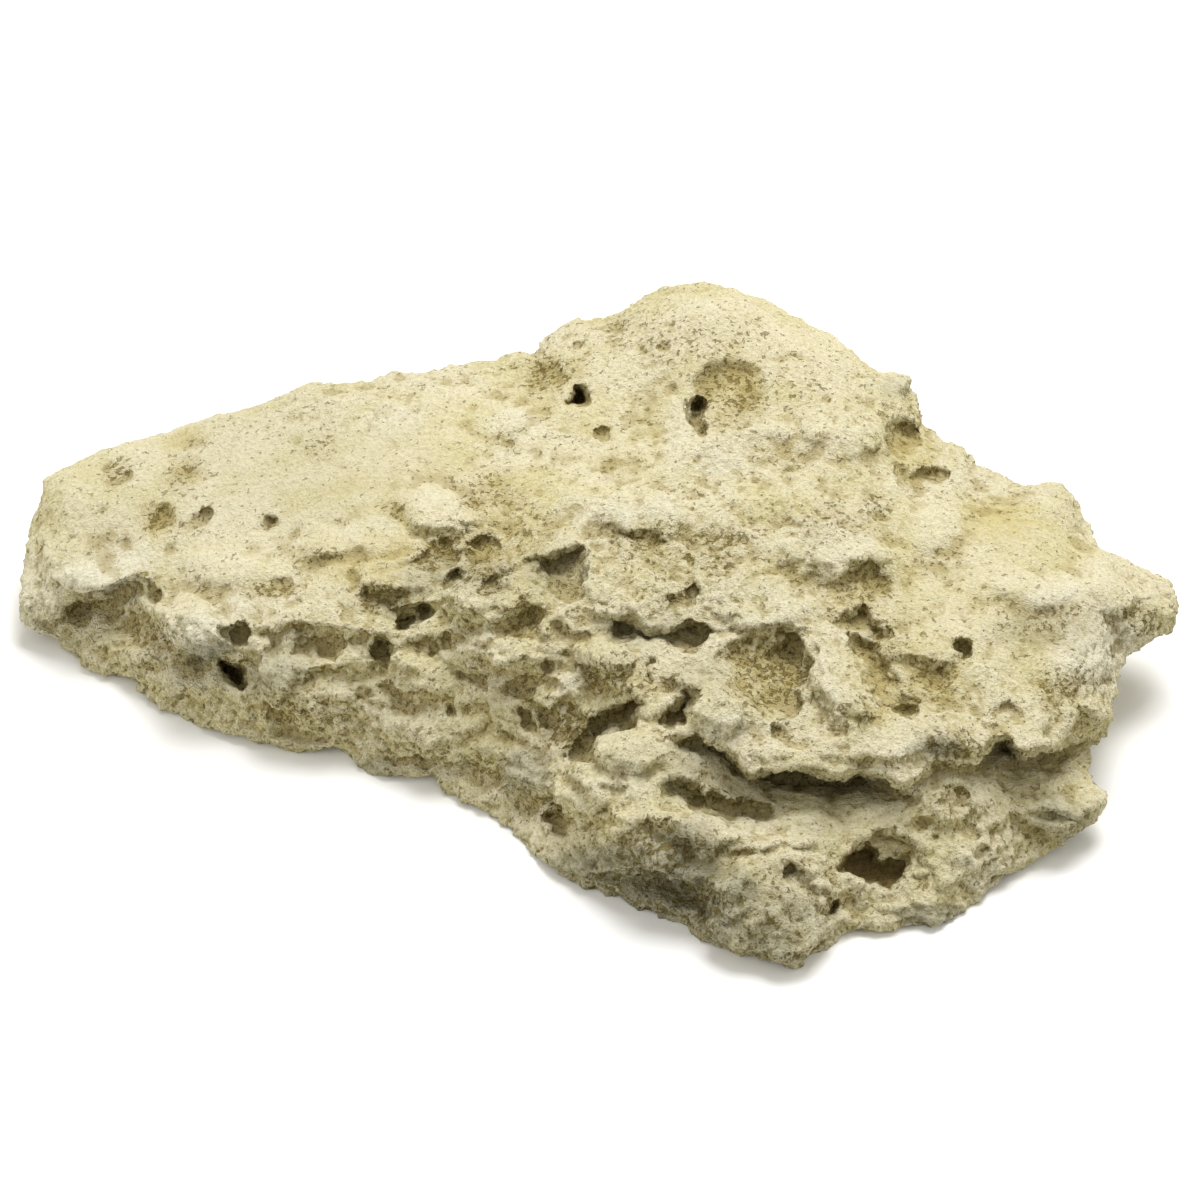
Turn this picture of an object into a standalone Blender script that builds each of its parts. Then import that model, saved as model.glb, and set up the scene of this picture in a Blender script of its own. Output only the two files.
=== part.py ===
"""Aquarium shelf rock: one slab of pale, porous reef limestone, in metres with +Z up.

The stone is laid out in millimetres as it is seen from a sight point in front of it and above it.
A place is given as across (to the right) and up, on a plane through the aim point that is square to
the line of sight, and a height over the table, which settles how near the stone's face is there.
"""

import math

import bmesh
import bpy
import numpy as np

# Driving dimensions, in metres.
LENGTH = 0.388
FACE_SPACING = 0.0022
MOST_TRIANGLES = 9600

# The layout's own measures, in millimetres at the length above.
MM = 0.001
SIGHT_TILT = math.radians(40)
SIGHT_DISTANCE = 1600.0
AIM = np.array([3.0, 17.0, 35.0])
MIDDLE = np.array([20.0, -10.0])
TO_SIGHT = np.array([0, -math.cos(SIGHT_TILT), math.sin(SIGHT_TILT)])

# How the face and the back meet: width and height of the round edge, least height of a pit's floor over
# the table, and least thickness between the face and the back.
EDGE_ROUND = 8.0
EDGE_BULGE = 4.5
LEAST_BODY = 6.0
LEAST_WALL = 13.0

# The outline, across, up and height: left end, back edge, right tip, front edge, front tip, left foot.
OUTLINE = [
    (-193, -1, 12), (-192, 12, 17), (-188, 28, 25), (-184, 42, 33), (-169, 50, 38), (-144, 57.5, 43),
    (-116, 64.5, 48), (-104.5, 69.5, 50), (-77, 74.5, 53), (-53, 78.5, 55), (-33, 81, 56),
    (-21, 84, 58), (-17, 91, 61), (-8, 94, 63), (2, 95, 64), (17, 102.5, 69), (25, 106, 72),
    (35, 107, 74), (47, 104.5, 73), (55, 101, 71), (69, 93, 67), (78, 90, 64), (87, 82, 62),
    (93, 78.5, 60), (103, 76, 58), (105, 68, 54), (108, 60, 50), (123, 49, 45), (127, 44, 42),
    (139, 39, 41), (153.5, 40, 42), (159, 31, 40), (165, 20, 38), (178.5, 12.5, 35), (189, 8, 32),
    (192, 0, 30), (189.5, -10, 25), (174.5, -17.5, 24), (170.5, -27, 25), (170.5, -38, 25),
    (161.5, -47, 17), (163, -57, 15), (166.5, -66, 13), (163.5, -72, 9), (157, -78, 7), (155, -82.5, 3),
    (144, -86.5, 2), (130, -96.5, 1), (120, -102.5, 1), (116, -107.5, 0), (97, -108.5, 0),
    (82, -109, 1), (72, -116.5, 0), (66, -122.5, 0), (55, -119.5, 0), (35, -112, 0), (28, -107, 0),
    (10, -98.5, 0), (-8, -93.5, 0), (-17, -88, 1), (-28, -79.5, 0), (-36, -70, 1), (-49, -65, 0),
    (-57, -58.5, 1), (-72, -58.5, 0), (-88, -50.5, 0), (-112, -47.5, 0), (-132, -42, 0), (-147, -34, 1),
    (-155, -26, 2), (-167, -22, 1), (-181, -12, 3), (-191.5, -6, 8),
]

# Heights of the stone's face where its two beds are one.
FACE = [
    (-178, 38, 40), (-183, 15, 28), (-167, 40, 42), (-167, 20, 33), (-150, 47, 46), (-150, 20, 38),
    (-150, 5, 31), (-133, 43, 49), (-133, 20, 43), (-133, 2, 36), (-133, -12, 31), (-133, -20, 19),
    (-170, 5, 25), (-170, -2, 15), (-107, -5, 37), (-80, -8, 41), (-155, 4, 29), (-157, -4, 18),
    (-110, 53, 53), (-110, 27, 48), (-110, 3, 41), (-83, 62, 58), (-83, 27, 53), (-83, 3, 46),
    (-57, 67, 60), (-57, 40, 57), (-57, 20, 54), (-37, 60, 61), (-37, 40, 58), (-37, 18, 54),
    (-20, 67, 63), (-20, 40, 60), (-3, 57, 64), (-13, 80, 66), (3, 83, 70), (0, 40, 61), (17, 92, 75),
    (33, 97, 80), (47, 93, 79), (17, 67, 68), (60, 82, 74), (77, 77, 71), (45, 67, 71), (60, 50, 66),
    (33, 57, 69), (27, 35, 65), (90, 57, 67), (90, 40, 63), (67, 53, 67), (33, 15, 61), (67, 27, 62),
    (53, 5, 59), (87, 20, 60), (67, 0, 56), (105, 45, 56), (117, 35, 55), (117, 20, 53), (117, 0, 51),
    (117, -17, 49), (150, 35, 49), (150, 17, 50), (150, 0, 48), (135, 28, 52), (167, 17, 46),
    (167, 0, 44), (183, 4, 38), (183, -5, 34), (90, -3, 52), (33, -17, 54), (13, -17, 52),
    (-167, -10, 13), (-150, -15, 17), (-150, -27, 6), (-133, -25, 17), (-133, -37, 5), (-113, -28, 22),
    (-113, -43, 7), (-90, -27, 27), (-90, -45, 8), (-67, -20, 33), (-67, -40, 17), (-67, -53, 6),
    (-43, -13, 43), (-43, -33, 28), (-43, -53, 11), (-23, -7, 52), (-23, -30, 36), (-23, -53, 20),
    (-23, -73, 6), (-3, -7, 53), (-3, -27, 42), (-3, -43, 34), (-3, -83, 11), (-3, -63, 28),
    (13, -53, 36), (13, -77, 27), (13, -93, 9),
]

# Heights of the upper bed alone, out to its lip.
SHELF = [
    (13, -33, 46), (33, -33, 50), (33, -45, 44), (50, -35, 48), (50, -54, 40), (67, -33, 47),
    (67, -52, 41), (83, -33, 48), (90, -20, 48), (90, -53, 39), (105, -56, 38), (117, -33, 43),
    (117, -52, 38), (130, -45, 39), (150, -17, 44), (150, -33, 41), (150, -46, 37), (165, -17, 39),
    (165, -35, 34), (90, -68, 33), (130, -62, 30), (50, -70, 33), (150, -62, 28),
]

# Heights of the lower bed alone: the floor of the slot, the ledge and its front.
LEDGE = [
    (33, -50, 38), (33, -60, 33), (33, -67, 31), (33, -83, 24), (33, -100, 10), (50, -59, 25),
    (50, -68, 27), (50, -80, 24), (50, -100, 15), (67, -58, 18), (67, -68, 25), (67, -83, 24),
    (67, -100, 14), (90, -58, 16), (90, -68, 25), (90, -80, 20), (90, -100, 8), (105, -61, 17),
    (105, -70, 25), (117, -60, 23), (117, -77, 20), (117, -95, 8), (135, -50, 20), (135, -65, 21),
    (133, -82, 12), (150, -50, 18), (150, -65, 18), (150, -80, 7), (162, -64, 15), (67, -33, 20),
    (100, -33, 20), (140, -33, 18),
]

# The lip of the upper bed: across and up of its lower edge. Left of its start the two beds are one.
LIP = [
    (14, -36), (22, -44), (30, -45), (37, -46), (43, -50), (50, -57), (57, -55.5), (70, -55.5),
    (76, -57), (95, -57), (100, -61), (105, -59), (112, -54), (125, -53.5), (130, -47), (135, -45),
    (140, -50), (150, -49), (157, -46), (163, -46), (175, -40),
]
LIP_START = 14.0
LIP_FADE = 6.0
LIP_STEP = 1.6

# The hidden sides as x, y and height: the back from the hump out to both ends, the right tip, the sole.
HIDDEN = [
    (-188, 84, 18), (-184, 78, 4), (-176, 70, -2), (-146, 101, 28), (-145, 96, 11), (-141, 86, -2),
    (-113, 108, 30), (-112, 102, 12), (-108, 92, -2), (-77, 117, 36), (-76, 112, 16), (-74, 101, -2),
    (-36, 124, 38), (-35, 118, 17), (-33, 106, -2), (2, 137, 44), (2, 131, 22), (0, 119, 3),
    (0, 112, -3), (44, 145, 54), (45, 142, 32), (44, 133, 12), (42, 122, -3), (84, 127, 44),
    (82, 122, 22), (79, 112, 3), (77, 106, -3), (108, 104, 38), (105, 98, 18), (101, 88, -2),
    (140, 76, 26), (134, 69, 10), (126, 60, -2), (162, 66, 28), (155, 57, 13), (146, 47, 0),
    (184, 25, 18), (172, 17, 8), (156, 6, 1), (145, -25, 2), (165, -40, 10), (150, -62, 1),
    (125, -85, -3), (15, 15, -7), (-80, 0, -5), (-130, 28, -5), (60, -60, -5), (65, -120, -4),
    (20, 55, 2), (90, 15, -6), (-40, 42, 5), (100, -45, 5), (20, -45, 4), (-100, 52, 2), (50, 55, -4),
    (-30, -40, -4), (110, -10, -3), (35, -95, -5), (-50, 70, 2), (-100, 76, -3), (20, 98, -3),
    (60, 92, 2), (-160, 52, -3), (-30, 92, -4), (105, 55, -3),
]

# Lumps on the face: across, up, half width, half height, turn in degrees, how far they stand out.
LUMPS = [
    (-170, 7, 10, 6, -8, 4.5), (-180, -2, 5, 4, 0, 3), (-136, -7, 14, 10, -22, 7),
    (-115, -14, 5, 5, 0, 3), (-109, -26, 10, 9, 20, 5), (-54, 31, 12, 8, -10, 3.5),
    (-75, 24, 9, 7, 0, 2.5), (-90, 21, 12, 6, 5, 3), (-126, 13, 14, 7, 0, 2), (-60, -24, 12, 7, -20, 4),
    (-68, 9, 12, 6, 0, 4), (-34, 3, 17, 10, 12, 6), (-45, 2, 7, 6, 10, 3), (-34, -15, 14, 5, -10, 5),
    (-34, 63, 9, 6, 0, 2.5), (13, 31, 16, 8, -8, 3), (8, 7, 15, 12, -20, 5), (52, 1, 20, 8, -8, 4),
    (76, 19, 20, 9, -5, 6), (1, -17, 9, 6, -10, 6), (9, -47, 14, 8, -8, 6), (38, -35, 10, 7, -20, 5),
    (79, -24, 9, 18, 22, 5), (98, -46, 18, 7, 0, 4), (118, -42, 13, 6, -10, 5),
    (106, -14, 12, 6, -20, 4), (150, 5, 18, 6, 0, 2.5), (155, -20, 12, 8, 0, 3.5), (172, 5, 8, 7, 0, 3),
    (134, 8, 12, 6, 0, 2), (57, -103, 19, 17, 0, 6), (-8, -62, 12, 8, 20, 4), (30, -74, 16, 5, -8, 4),
    (12, -80, 14, 6, -10, 4), (150, -71, 10, 6, -10, 5), (165, -66, 6, 6, 0, 4), (98, -80, 12, 6, 0, 3),
    (120, -85, 12, 8, 20, 3), (80, 60, 14, 10, 0, 3), (60, 36, 16, 8, -10, 2),
    (-66, -42, 12, 6, -15, 4), (-92, -32, 9, 6, 0, 4), (-30, -52, 12, 6, -20, 4),
    (-15, -28, 9, 5, 0, 4), (-10, 38, 14, 7, 20, 3), (112, 25, 9, 7, 0, 3), (99, 70, 7, 7, 0, 3),
    (120, 53, 8, 4, -20, 2), (-160, -14, 10, 5, -15, 3), (-140, -28, 10, 5, -20, 3),
]

# Crests as (width, height, points), and grooves as (half width, depth, points).
CRESTS = [
    (4, 3, [(72, -9), (74, -18), (79, -29), (88, -38)]),
    (4, 2.5, [(50, -51), (60, -50), (75, -51), (92, -51), (101, -54)]),
    (3, 2.5, [(68, 24), (76, 26), (88, 25), (95, 19), (98, 12)]),
    (3, 3, [(-128, -9), (-138, -4), (-146, -2)]),
    (4, 3, [(-116, -11), (-110, -6), (-100, -5), (-88, -7), (-80, -10), (-70, -8)]),
    (3, 4, [(-48, 0), (-47, 5), (-43, 8), (-37, 10), (-27, 15), (-18, 18), (-7, 19)]),
    (2.6, 4, [(-5, 18), (-5, 10), (-7, 3), (-14, -3), (-18, -9)]),
    (5, 3, [(-20, 14), (0, 32), (13, 41), (33, 54), (63, 58), (90, 58), (98, 49), (100, 38)]),
    (3, 4, [(40, -30), (46, -34), (51, -38)]),
    (4, 3, [(97, -38), (110, -39), (120, -37), (128, -43)]),
    (4, 4, [(60, -85), (50, -88), (41, -97), (39, -108)]),
    (4, 4, [(63, -85), (72, -95), (71, -108), (68, -118)]),
    (5, 3, [(-10, -88), (5, -88), (22, -87), (30, -90), (42, -94)]),
]
GROOVES = [
    (2.2, 6, [(33, -66), (40, -67.5), (48, -68.5), (57, -69)]),
    (1.8, 7, [(33, 67), (31.5, 62), (34, 58)]),
    (3.5, 2, [(62, -89), (68, -94), (72, -99), (76, -103)]),
    (2.5, 3, [(-30, -28), (-25, -27), (-18, -27)]),
]

# Hollows and caves with a traced edge: depth, width of the wall, share of the depth at the shallow side,
# the direction in degrees of the deep side, points round the edge.
PITS = [
    (3.8, 1.6, 0.6, 90, [(-165.5, 41), (-161, 42.5), (-156, 44.5), (-154.5, 42.5), (-158, 40.5),
         (-163, 39.5)]),
    (4.5, 3.2, 0.3, 60, [(-151.5, 26), (-150, 23.5), (-146, 22.8), (-142.5, 26), (-142, 30), (-144, 33),
         (-147, 32.5), (-149.5, 30)]),
    (3.2, 2.4, 0.6, 90, [(-143, 25), (-138, 22.8), (-132, 24.5), (-129.5, 28), (-131, 31), (-135, 30.5),
         (-138, 26.5)]),
    (2.6, 2, 0.5, 90, [(-141, 44), (-138, 46.5), (-133, 45.5), (-131.5, 43), (-135, 41.5),
         (-139, 42.5)]),
    (3.5, 3.5, 0.4, 90, [(-114.5, 4), (-110, 8.8), (-103, 9.5), (-99, 6), (-104, 2), (-110, 1.5)]),
    (3.2, 2.5, 0.5, 90, [(-84, 8), (-82, 12), (-79, 9), (-80, 4), (-83, 4)]),
    (17.4, 1.4, 0.9, 90, [(-11.5, 67), (-9.5, 70.5), (-6.5, 71.8), (-4.5, 70.4), (-2.8, 69),
         (-4.5, 66.3), (-8, 66.3)]),
    (2.6, 2.4, 0.5, 90, [(-25, 72), (-22, 79), (-15, 81), (-10, 76), (-14, 70), (-20, 70.5)]),
    (6.5, 3.6, 0.3, 110, [(-45.5, 20.5), (-40, 22.5), (-35, 21.5), (-32, 18), (-35, 13), (-40, 11.5),
         (-44, 14.5)]),
    (6, 5.5, 0.1, 60, [(-63, 14), (-58, 21.5), (-51, 21.5), (-46.5, 17), (-48, 11.5), (-57, 11)]),
    (9, 1.6, 0.6, 90, [(-52.5, 5.5), (-51, 9.5), (-48.7, 12.6), (-45.8, 10.6), (-42, 9), (-46.6, 7.4),
         (-47.6, 4.2), (-49.5, 5)]),
    (5.8, 4.5, 0.25, 110, [(31, 75), (36, 79.5), (43, 82), (49.5, 81), (54.5, 76), (56, 70), (54, 63),
         (50, 59.5), (44, 56.5), (38, 57.5), (34, 57.5), (30.5, 62), (30.5, 68)]),
    (8, 1.3, 0.9, 90, [(30.2, 65.5), (32, 67.8), (34.5, 67), (32.6, 64), (33, 60), (35.2, 58),
         (33, 56.2), (30.6, 59)]),
    (3.8, 2, 0.5, 90, [(33, 74), (37, 79), (43, 80), (49, 80), (48, 76), (42, 75.5), (37, 73)]),
    (2.9, 1.6, 0.5, 90, [(35, 68), (40, 70.5), (47, 70.5), (47, 67.5), (40, 67.3)]),
    (8, 2.6, 0.6, 90, [(96, 58), (99.5, 62), (102.5, 59.5), (106, 59), (106.5, 54), (103.5, 50),
         (99, 49.5), (96.5, 52)]),
    (9.4, 2.6, 0.6, 90, [(100, 47.5), (104, 43.5), (106, 46), (110, 45), (115.5, 45.5), (116.5, 42.8),
         (112, 40.5), (108.5, 40), (108.5, 36), (106, 34.5), (102, 38.5), (99.5, 43)]),
    (2.6, 3, 0.5, 90, [(147, 40), (153, 41), (158, 35), (156, 29), (150, 30), (147, 35)]),
    (11, 3.2, 0.05, 62, [(-29, 7), (-24, 11.6), (-19, 15), (-12, 17.6), (-8, 18.6), (-4.6, 19),
         (-4.6, 12), (-5.4, 3), (-9, 1.5), (-15, 3), (-22, 5)]),
    (2.6, 2.6, 0.4, 90, [(-36, 3), (-32, 6), (-27, 6.5), (-27, 3.5), (-33, 1.5)]),
    (5, 1.4, 0.5, 60, [(20.4, 0.4), (22, 3), (26, 2.2), (29, 3.6), (32, 6.6), (34, 4), (29, 0.6),
         (27.6, -3.2), (25.2, -4.6), (22.6, -2)]),
    (10, 3.8, 0.1, 82, [(2, -9), (5, -5.2), (9, -4.6), (12, -6.6), (15, -7.8), (20, -9.7), (25, -9.6),
         (28, -5.8), (33, -6.8), (38.3, -10), (34, -12), (31, -15.3), (26, -15.3), (20, -13.3),
         (15, -13.6), (11, -11.4), (6, -12.3)]),
    (13, 8, 0.05, 52, [(52, -11), (58, -10), (64, -9.6), (69, -14), (71, -19), (70, -26), (67.5, -31),
         (66.5, -38), (60, -39), (51, -38), (46, -35), (40.5, -31), (39.5, -24), (37.5, -17),
         (43, -11)]),
    (4.5, 3, 0.4, 60, [(57.5, -11), (63, -10.8), (68.5, -14.5), (70, -19.5), (66, -18.5), (60, -15)]),
    (5.5, 1.4, 0.6, 90, [(14.2, -25.4), (15.4, -20.6), (17.6, -17.4), (19.2, -19), (17.6, -22.4),
         (18.4, -25.6), (16.4, -26.6)]),
    (18, 1.3, 0.6, 70, [(19, -38.6), (21.4, -34.4), (26.2, -33), (28.2, -29.4), (31.8, -30.4),
         (30.4, -34.6), (31, -39.6), (25, -41), (22.6, -42)]),
    (17.5, 1.4, 0.5, 60, [(-7.6, -46), (-3.4, -40.4), (1.2, -36), (7.6, -33.4), (12, -29.8),
         (15.4, -32.4), (13.2, -38), (12.2, -43.2), (5.4, -42), (1.2, -43.2), (-0.6, -46), (0.2, -50),
         (0.8, -53.2), (-6, -53.6), (-11, -50.4)]),
    (5, 4.6, 0.2, 70, [(-20.5, -36), (-14, -35), (-9.5, -41), (-10.5, -48), (-17, -46), (-21, -41)]),
    (5, 1.6, 0.7, 60, [(-28, -35.5), (-25, -35), (-21.4, -40), (-20, -44), (-23.6, -42)]),
    (4.6, 2, 0.5, 90, [(-48, -21), (-44, -23.6), (-39, -22.8), (-34.6, -22.8), (-36, -25), (-38, -28.5),
         (-42, -27), (-47, -25)]),
    (4.6, 3.4, 0.3, 90, [(-31.5, -9), (-30, -3), (-24, -1), (-18, -3), (-19, -8), (-22, -11.5),
         (-28, -11.3)]),
    (4.6, 4.6, 0.3, 60, [(79, 5), (82, 13), (90, 13.5), (97.5, 8), (98.5, 3), (92, 0), (84, -1),
         (79.5, 1)]),
    (7.5, 2.6, 0.5, 70, [(76, -5), (80, -1.5), (88, 0), (91, -5), (97.5, -11), (94, -13.5), (86, -12),
         (82, -9), (78, -8.6)]),
    (7.5, 4.6, 0.5, 200, [(82, -9), (92, -10), (97, -16), (99, -24), (106, -31), (105, -38.3),
         (96, -36.5), (90, -30), (85, -22), (82, -15)]),
    (4, 1.6, 0.6, 90, [(95.3, -34), (99, -33.5), (103, -34), (106.6, -31.5), (105.3, -38), (97, -37)]),
    (3.4, 4, 0.2, 90, [(99, -24), (106, -21), (113, -21), (118, -24), (117, -29), (108, -31),
         (101, -29)]),
    (3.8, 3, 0.5, 90, [(131, -35), (136, -32.5), (141, -35), (140.5, -41), (136, -38.5)]),
    (3.5, 2, 0.5, 90, [(78, -35), (81, -32.5), (89, -37), (87, -41), (81, -39.5)]),
    (3.8, 2, 0.5, 90, [(56, -42), (59, -39.6), (62.5, -42.5), (61.5, -46.3), (58, -45.5)]),
    (3.2, 3, 0.5, 90, [(166, -3), (172, -1), (175, -6), (170, -10), (166, -7)]),
    (2.9, 2.4, 0.5, 90, [(168, -12), (174, -12.5), (177, -16), (172, -17)]),
    (8, 4, 0.1, 80, [(-178, -2), (-175, 3), (-168, 4.4), (-162, 4), (-157, 8), (-153, 6), (-155, 0),
         (-160, -5), (-168, -9), (-176, -6)]),
    (20.3, 1.4, 0.9, 90, [(-127.5, -18), (-122, -19), (-118, -20.6), (-116.4, -25), (-118, -29.2),
         (-122.5, -28.8), (-125.6, -23.5)]),
    (9, 2, 0.6, 90, [(-128, -9.4), (-120, -6.8), (-115.6, -10), (-118, -13.4), (-123, -14.6)]),
    (5.5, 3.2, 0.4, 70, [(-134, -18.5), (-124, -18), (-117, -20), (-113, -25), (-115, -33), (-121, -31),
         (-128, -26), (-134, -23)]),
    (11, 5, 0.1, 35, [(-104, -11), (-101, -7.6), (-96, -7), (-89, -9.4), (-84.6, -11), (-85.6, -15.6),
         (-89, -18.6), (-96, -20), (-103, -17)]),
    (8.5, 1.8, 0.6, 90, [(-76.6, -16), (-74, -12.2), (-70, -12.2), (-67.6, -15), (-70.6, -19.5),
         (-74, -19.5)]),
    (20.3, 1.4, 0.9, 90, [(-69.6, -10.5), (-67.6, -3), (-61, -2.2), (-57, -0.2), (-55, -4.2), (-60, -5),
         (-63, -8.6)]),
    (5, 3.4, 0.2, 90, [(-81, 3), (-77, 6.6), (-70, 6), (-65, 1.5), (-69, -2), (-78, -1)]),
    (2.6, 4, 0.2, 90, [(-110, -36), (-100, -37), (-91, -41), (-89, -48), (-98, -50), (-110, -46)]),
    (10.2, 2, 0.8, 90, [(23.5, -47.4), (27, -45.2), (31, -44.6), (38, -45.6), (44, -50.6),
         (50.6, -57.6), (46, -57), (40, -52.6), (32, -49.7), (27, -49.2)]),
    (8, 3.4, 0.3, 60, [(50, -58), (57, -56.4), (70, -56.4), (76, -58), (95, -58), (100, -62),
         (107, -61), (106, -66.5), (96, -67), (84, -68), (70, -65), (60, -66.5), (50, -64)]),
    (10.9, 2.2, 0.5, 70, [(18.6, -63), (22, -58.2), (28, -57.3), (33, -61), (34.6, -66.5), (28, -66.5),
         (22, -65.4)]),
    (6.4, 1.2, 0.8, 90, [(34, -66.8), (38, -64.8), (44, -66.6), (50, -67), (57, -69), (48, -69),
         (38, -68.4)]),
    (10.2, 2.6, 0.5, 90, [(-19.6, -71.5), (-13, -67.6), (-9, -68.6), (-6.6, -72), (-8.8, -77.4),
         (-12, -79.6), (-16, -76)]),
    (20.3, 1.4, 0.9, 90, [(78.6, -88.3), (82, -84), (84, -80.8), (90, -81.8), (92, -84.6), (97, -85.8),
         (102.4, -88), (102.2, -91), (99.4, -93), (97, -95.6), (94, -94.3), (91, -92.4), (85, -91.3),
         (82, -89.3)]),
    (8, 3, 0.8, 90, [(83, -82.5), (86, -78), (91, -75.4), (97, -74.6), (102, -76.5), (105, -81),
         (104, -88.5), (100, -90), (93, -86.5), (86, -84)]),
    (3.4, 3.6, 0.4, 60, [(60, -89), (64, -86.6), (70, -89.6), (75, -95), (78, -99), (74, -105.5),
         (70, -101), (67, -95), (62, -91.5)]),
    (4.3, 2.6, 0.5, 90, [(111.5, -66), (118, -59.5), (122.6, -62), (121, -68.5), (118, -72),
         (114, -70)]),
    (2.9, 2.6, 0.5, 90, [(124, -84), (127, -80), (130, -83), (128, -89), (125, -88)]),
    (6, 4.5, 0.5, 75, [(0, -91.5), (10, -90), (20, -89), (26, -88.8), (29.6, -92.6), (33, -93.4),
         (38, -95.6), (44, -99), (42, -104), (38, -108), (33, -108), (29, -104.6), (20, -100.6),
         (10, -97.6), (3, -95)]),
    (3.8, 2.6, 0.4, 90, [(-9, -86), (-3, -84.5), (2, -87), (0, -91), (-7, -91)]),
    (3.8, 2.4, 0.5, 90, [(128, -47.6), (132, -45.2), (138.6, -46.8), (137, -50), (131, -51)]),
    (4.3, 3, 0.4, 90, [(142, -66), (150, -68.5), (158, -70), (156, -73.5), (148, -73), (142, -70)]),
    (4.3, 2, 0.4, 90, [(96, -103), (104, -100.8), (112, -100), (118, -99), (120, -106), (112, -110),
         (98, -110)]),
]

# Brows, under which the skin steps back: height, reach above and below, points from left to right.
BROWS = [
    (8.4, 9, 9, [(-193, -4), (-184, -5), (-178, -3), (-171, 3.4), (-163, 4.6), (-156, 8), (-149, 6)]),
    (7, 8, 7, [(-149, 1), (-145, -7), (-141, -14), (-136, -18.4), (-130, -18.6), (-124, -17)]),
    (4.2, 6, 4, [(-124, -8), (-118, -9.6), (-113, -9)]),
    (3.5, 8, 6, [(-117, -8), (-108, -9), (-100, -6.6), (-92, -7), (-85, -10)]),
    (4.2, 5, 6, [(-84, -9), (-77, -11), (-70, -10.5)]),
    (4.5, 8, 5, [(-80, 0), (-72, -2.4), (-66, -2.6), (-58, 0), (-50, 0)]),
    (4.2, 7, 6, [(-80, 12), (-70, 13), (-62, 15), (-56, 17)]),
    (3.6, 5, 6, [(-104, -21), (-95, -22.5), (-86, -21), (-78, -21), (-68, -20), (-58, -22)]),
    (4.2, 6, 9, [(-112, -36), (-102, -37.5), (-92, -41), (-86, -47.5), (-78, -50), (-66, -50.4),
         (-52, -50.8), (-38, -51.6), (-26, -51)]),
    (3.9, 6, 6, [(-64, -12), (-57, -11), (-50, -10.4), (-42, -12), (-34, -11.6)]),
    (4.2, 6, 5, [(-50, -17), (-46, -20), (-40, -20), (-34, -21), (-27, -20), (-20, -18)]),
    (4.2, 5, 6, [(-50, 3), (-44, 7.4), (-37, 8.4), (-30, 12), (-24, 15), (-15, 17), (-6, 20)]),
    (3.6, 6, 5, [(-48, -3), (-43, -3.5), (-36, -1.5), (-28, 3), (-21, 4)]),
    (3.4, 5, 5, [(-17, -3), (-12, -8), (-6, -10.4), (0, -9)]),
    (3.4, 7, 6, [(-30, -33), (-22, -34), (-14, -34.5), (-8, -36), (-3, -38)]),
    (3.6, 6, 6, [(-9, -13), (-4, -19), (2, -25), (8, -28), (13, -29)]),
    (3.2, 8, 5, [(0, -3.5), (5, -4.6), (10, -4.2), (16, -7), (21, -9), (26, -8.4)]),
    (4.2, 8, 6, [(60, 28), (68, 25.5), (75, 26.6), (82, 27.5), (90, 27)]),
    (3.4, 6, 6, [(104, -38), (112, -37.5), (119, -35.6), (127, -39), (133, -41)]),
    (3.1, 6, 6, [(20, -24), (28, -27), (36, -28), (41, -31)]),
    (2.8, 5, 5, [(-20, -64.5), (-12, -66), (-5, -68), (2, -70)]),
    (5.6, 7, 8, [(-12, -87), (-2, -89.4), (9, -89.8), (20, -88.6), (28, -91.6), (36, -94), (44, -98)]),
    (4.2, 6, 6, [(6, -79), (12, -73), (22, -72), (30, -78), (34, -86)]),
    (4.5, 5, 7, [(42, -83), (50, -81.4), (58, -79.8), (66, -80), (74, -79)]),
    (3.4, 7, 6, [(-20, -56), (-12, -57), (-4, -60), (4, -61), (12, -60)]),
    (4.2, 5, 6, [(96, -104), (104, -100.6), (112, -99.6), (120, -97)]),
    (3.4, 7, 6, [(134, -70), (142, -69), (150, -69), (158, -70.5), (164, -70)]),
    (3.1, 6, 6, [(100, -73), (110, -72), (120, -73), (128, -76)]),
]

# The slot that runs in under the lip: across, up and how far in from the sight plane its middle lies.
SLOT_RADIUS = 4.6
SLOT = [
    (46, -57, 47), (56, -59, 44), (70, -59.5, 42), (84, -60, 41), (97, -61, 41), (106, -61, 43),
]

# How the weathering has shifted the edges of the forms above: size of its swells, reach, seed.
WAVY = [(15, 2.2, 401), (5.5, 1.1, 403)]
RAGGED = [(7, 1.3, 405), (3, 1.0, 407)]

# The weathered skin: size of its swells, crags or bowls, and their height on the seen and hidden sides.
SWELL_SIZE = 42
SWELL_HEIGHT = 1.4
SKIN_LOSS = 1.0
CRAGS = [(24, 1.5, 2.6), (12, 1.3, 1.7)]
BOWLS = [(17, 0.4, 1.3), (9, 0.4, 0.9)]

# Smooth slopes: across, up, half width, half height, how much smoother they are.
SMOOTH_AREAS = [
    (-110, 35, 75, 32, 0.75), (-20, 55, 60, 26, 0.5), (50, 85, 50, 22, 0.5), (75, 40, 45, 20, 0.3),
]

STONE_COLOUR = (0.55, 0.485, 0.295, 1.0)
STONE_ROUGHNESS = 0.95


def near_for_height(across, up, height):
    """How near the sight point a place is, from where it is seen and its height over the table."""
    rise = height - AIM[2]
    lean = up * math.cos(SIGHT_TILT)
    return (rise - lean) / (math.sin(SIGHT_TILT) - lean / SIGHT_DISTANCE)


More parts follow.
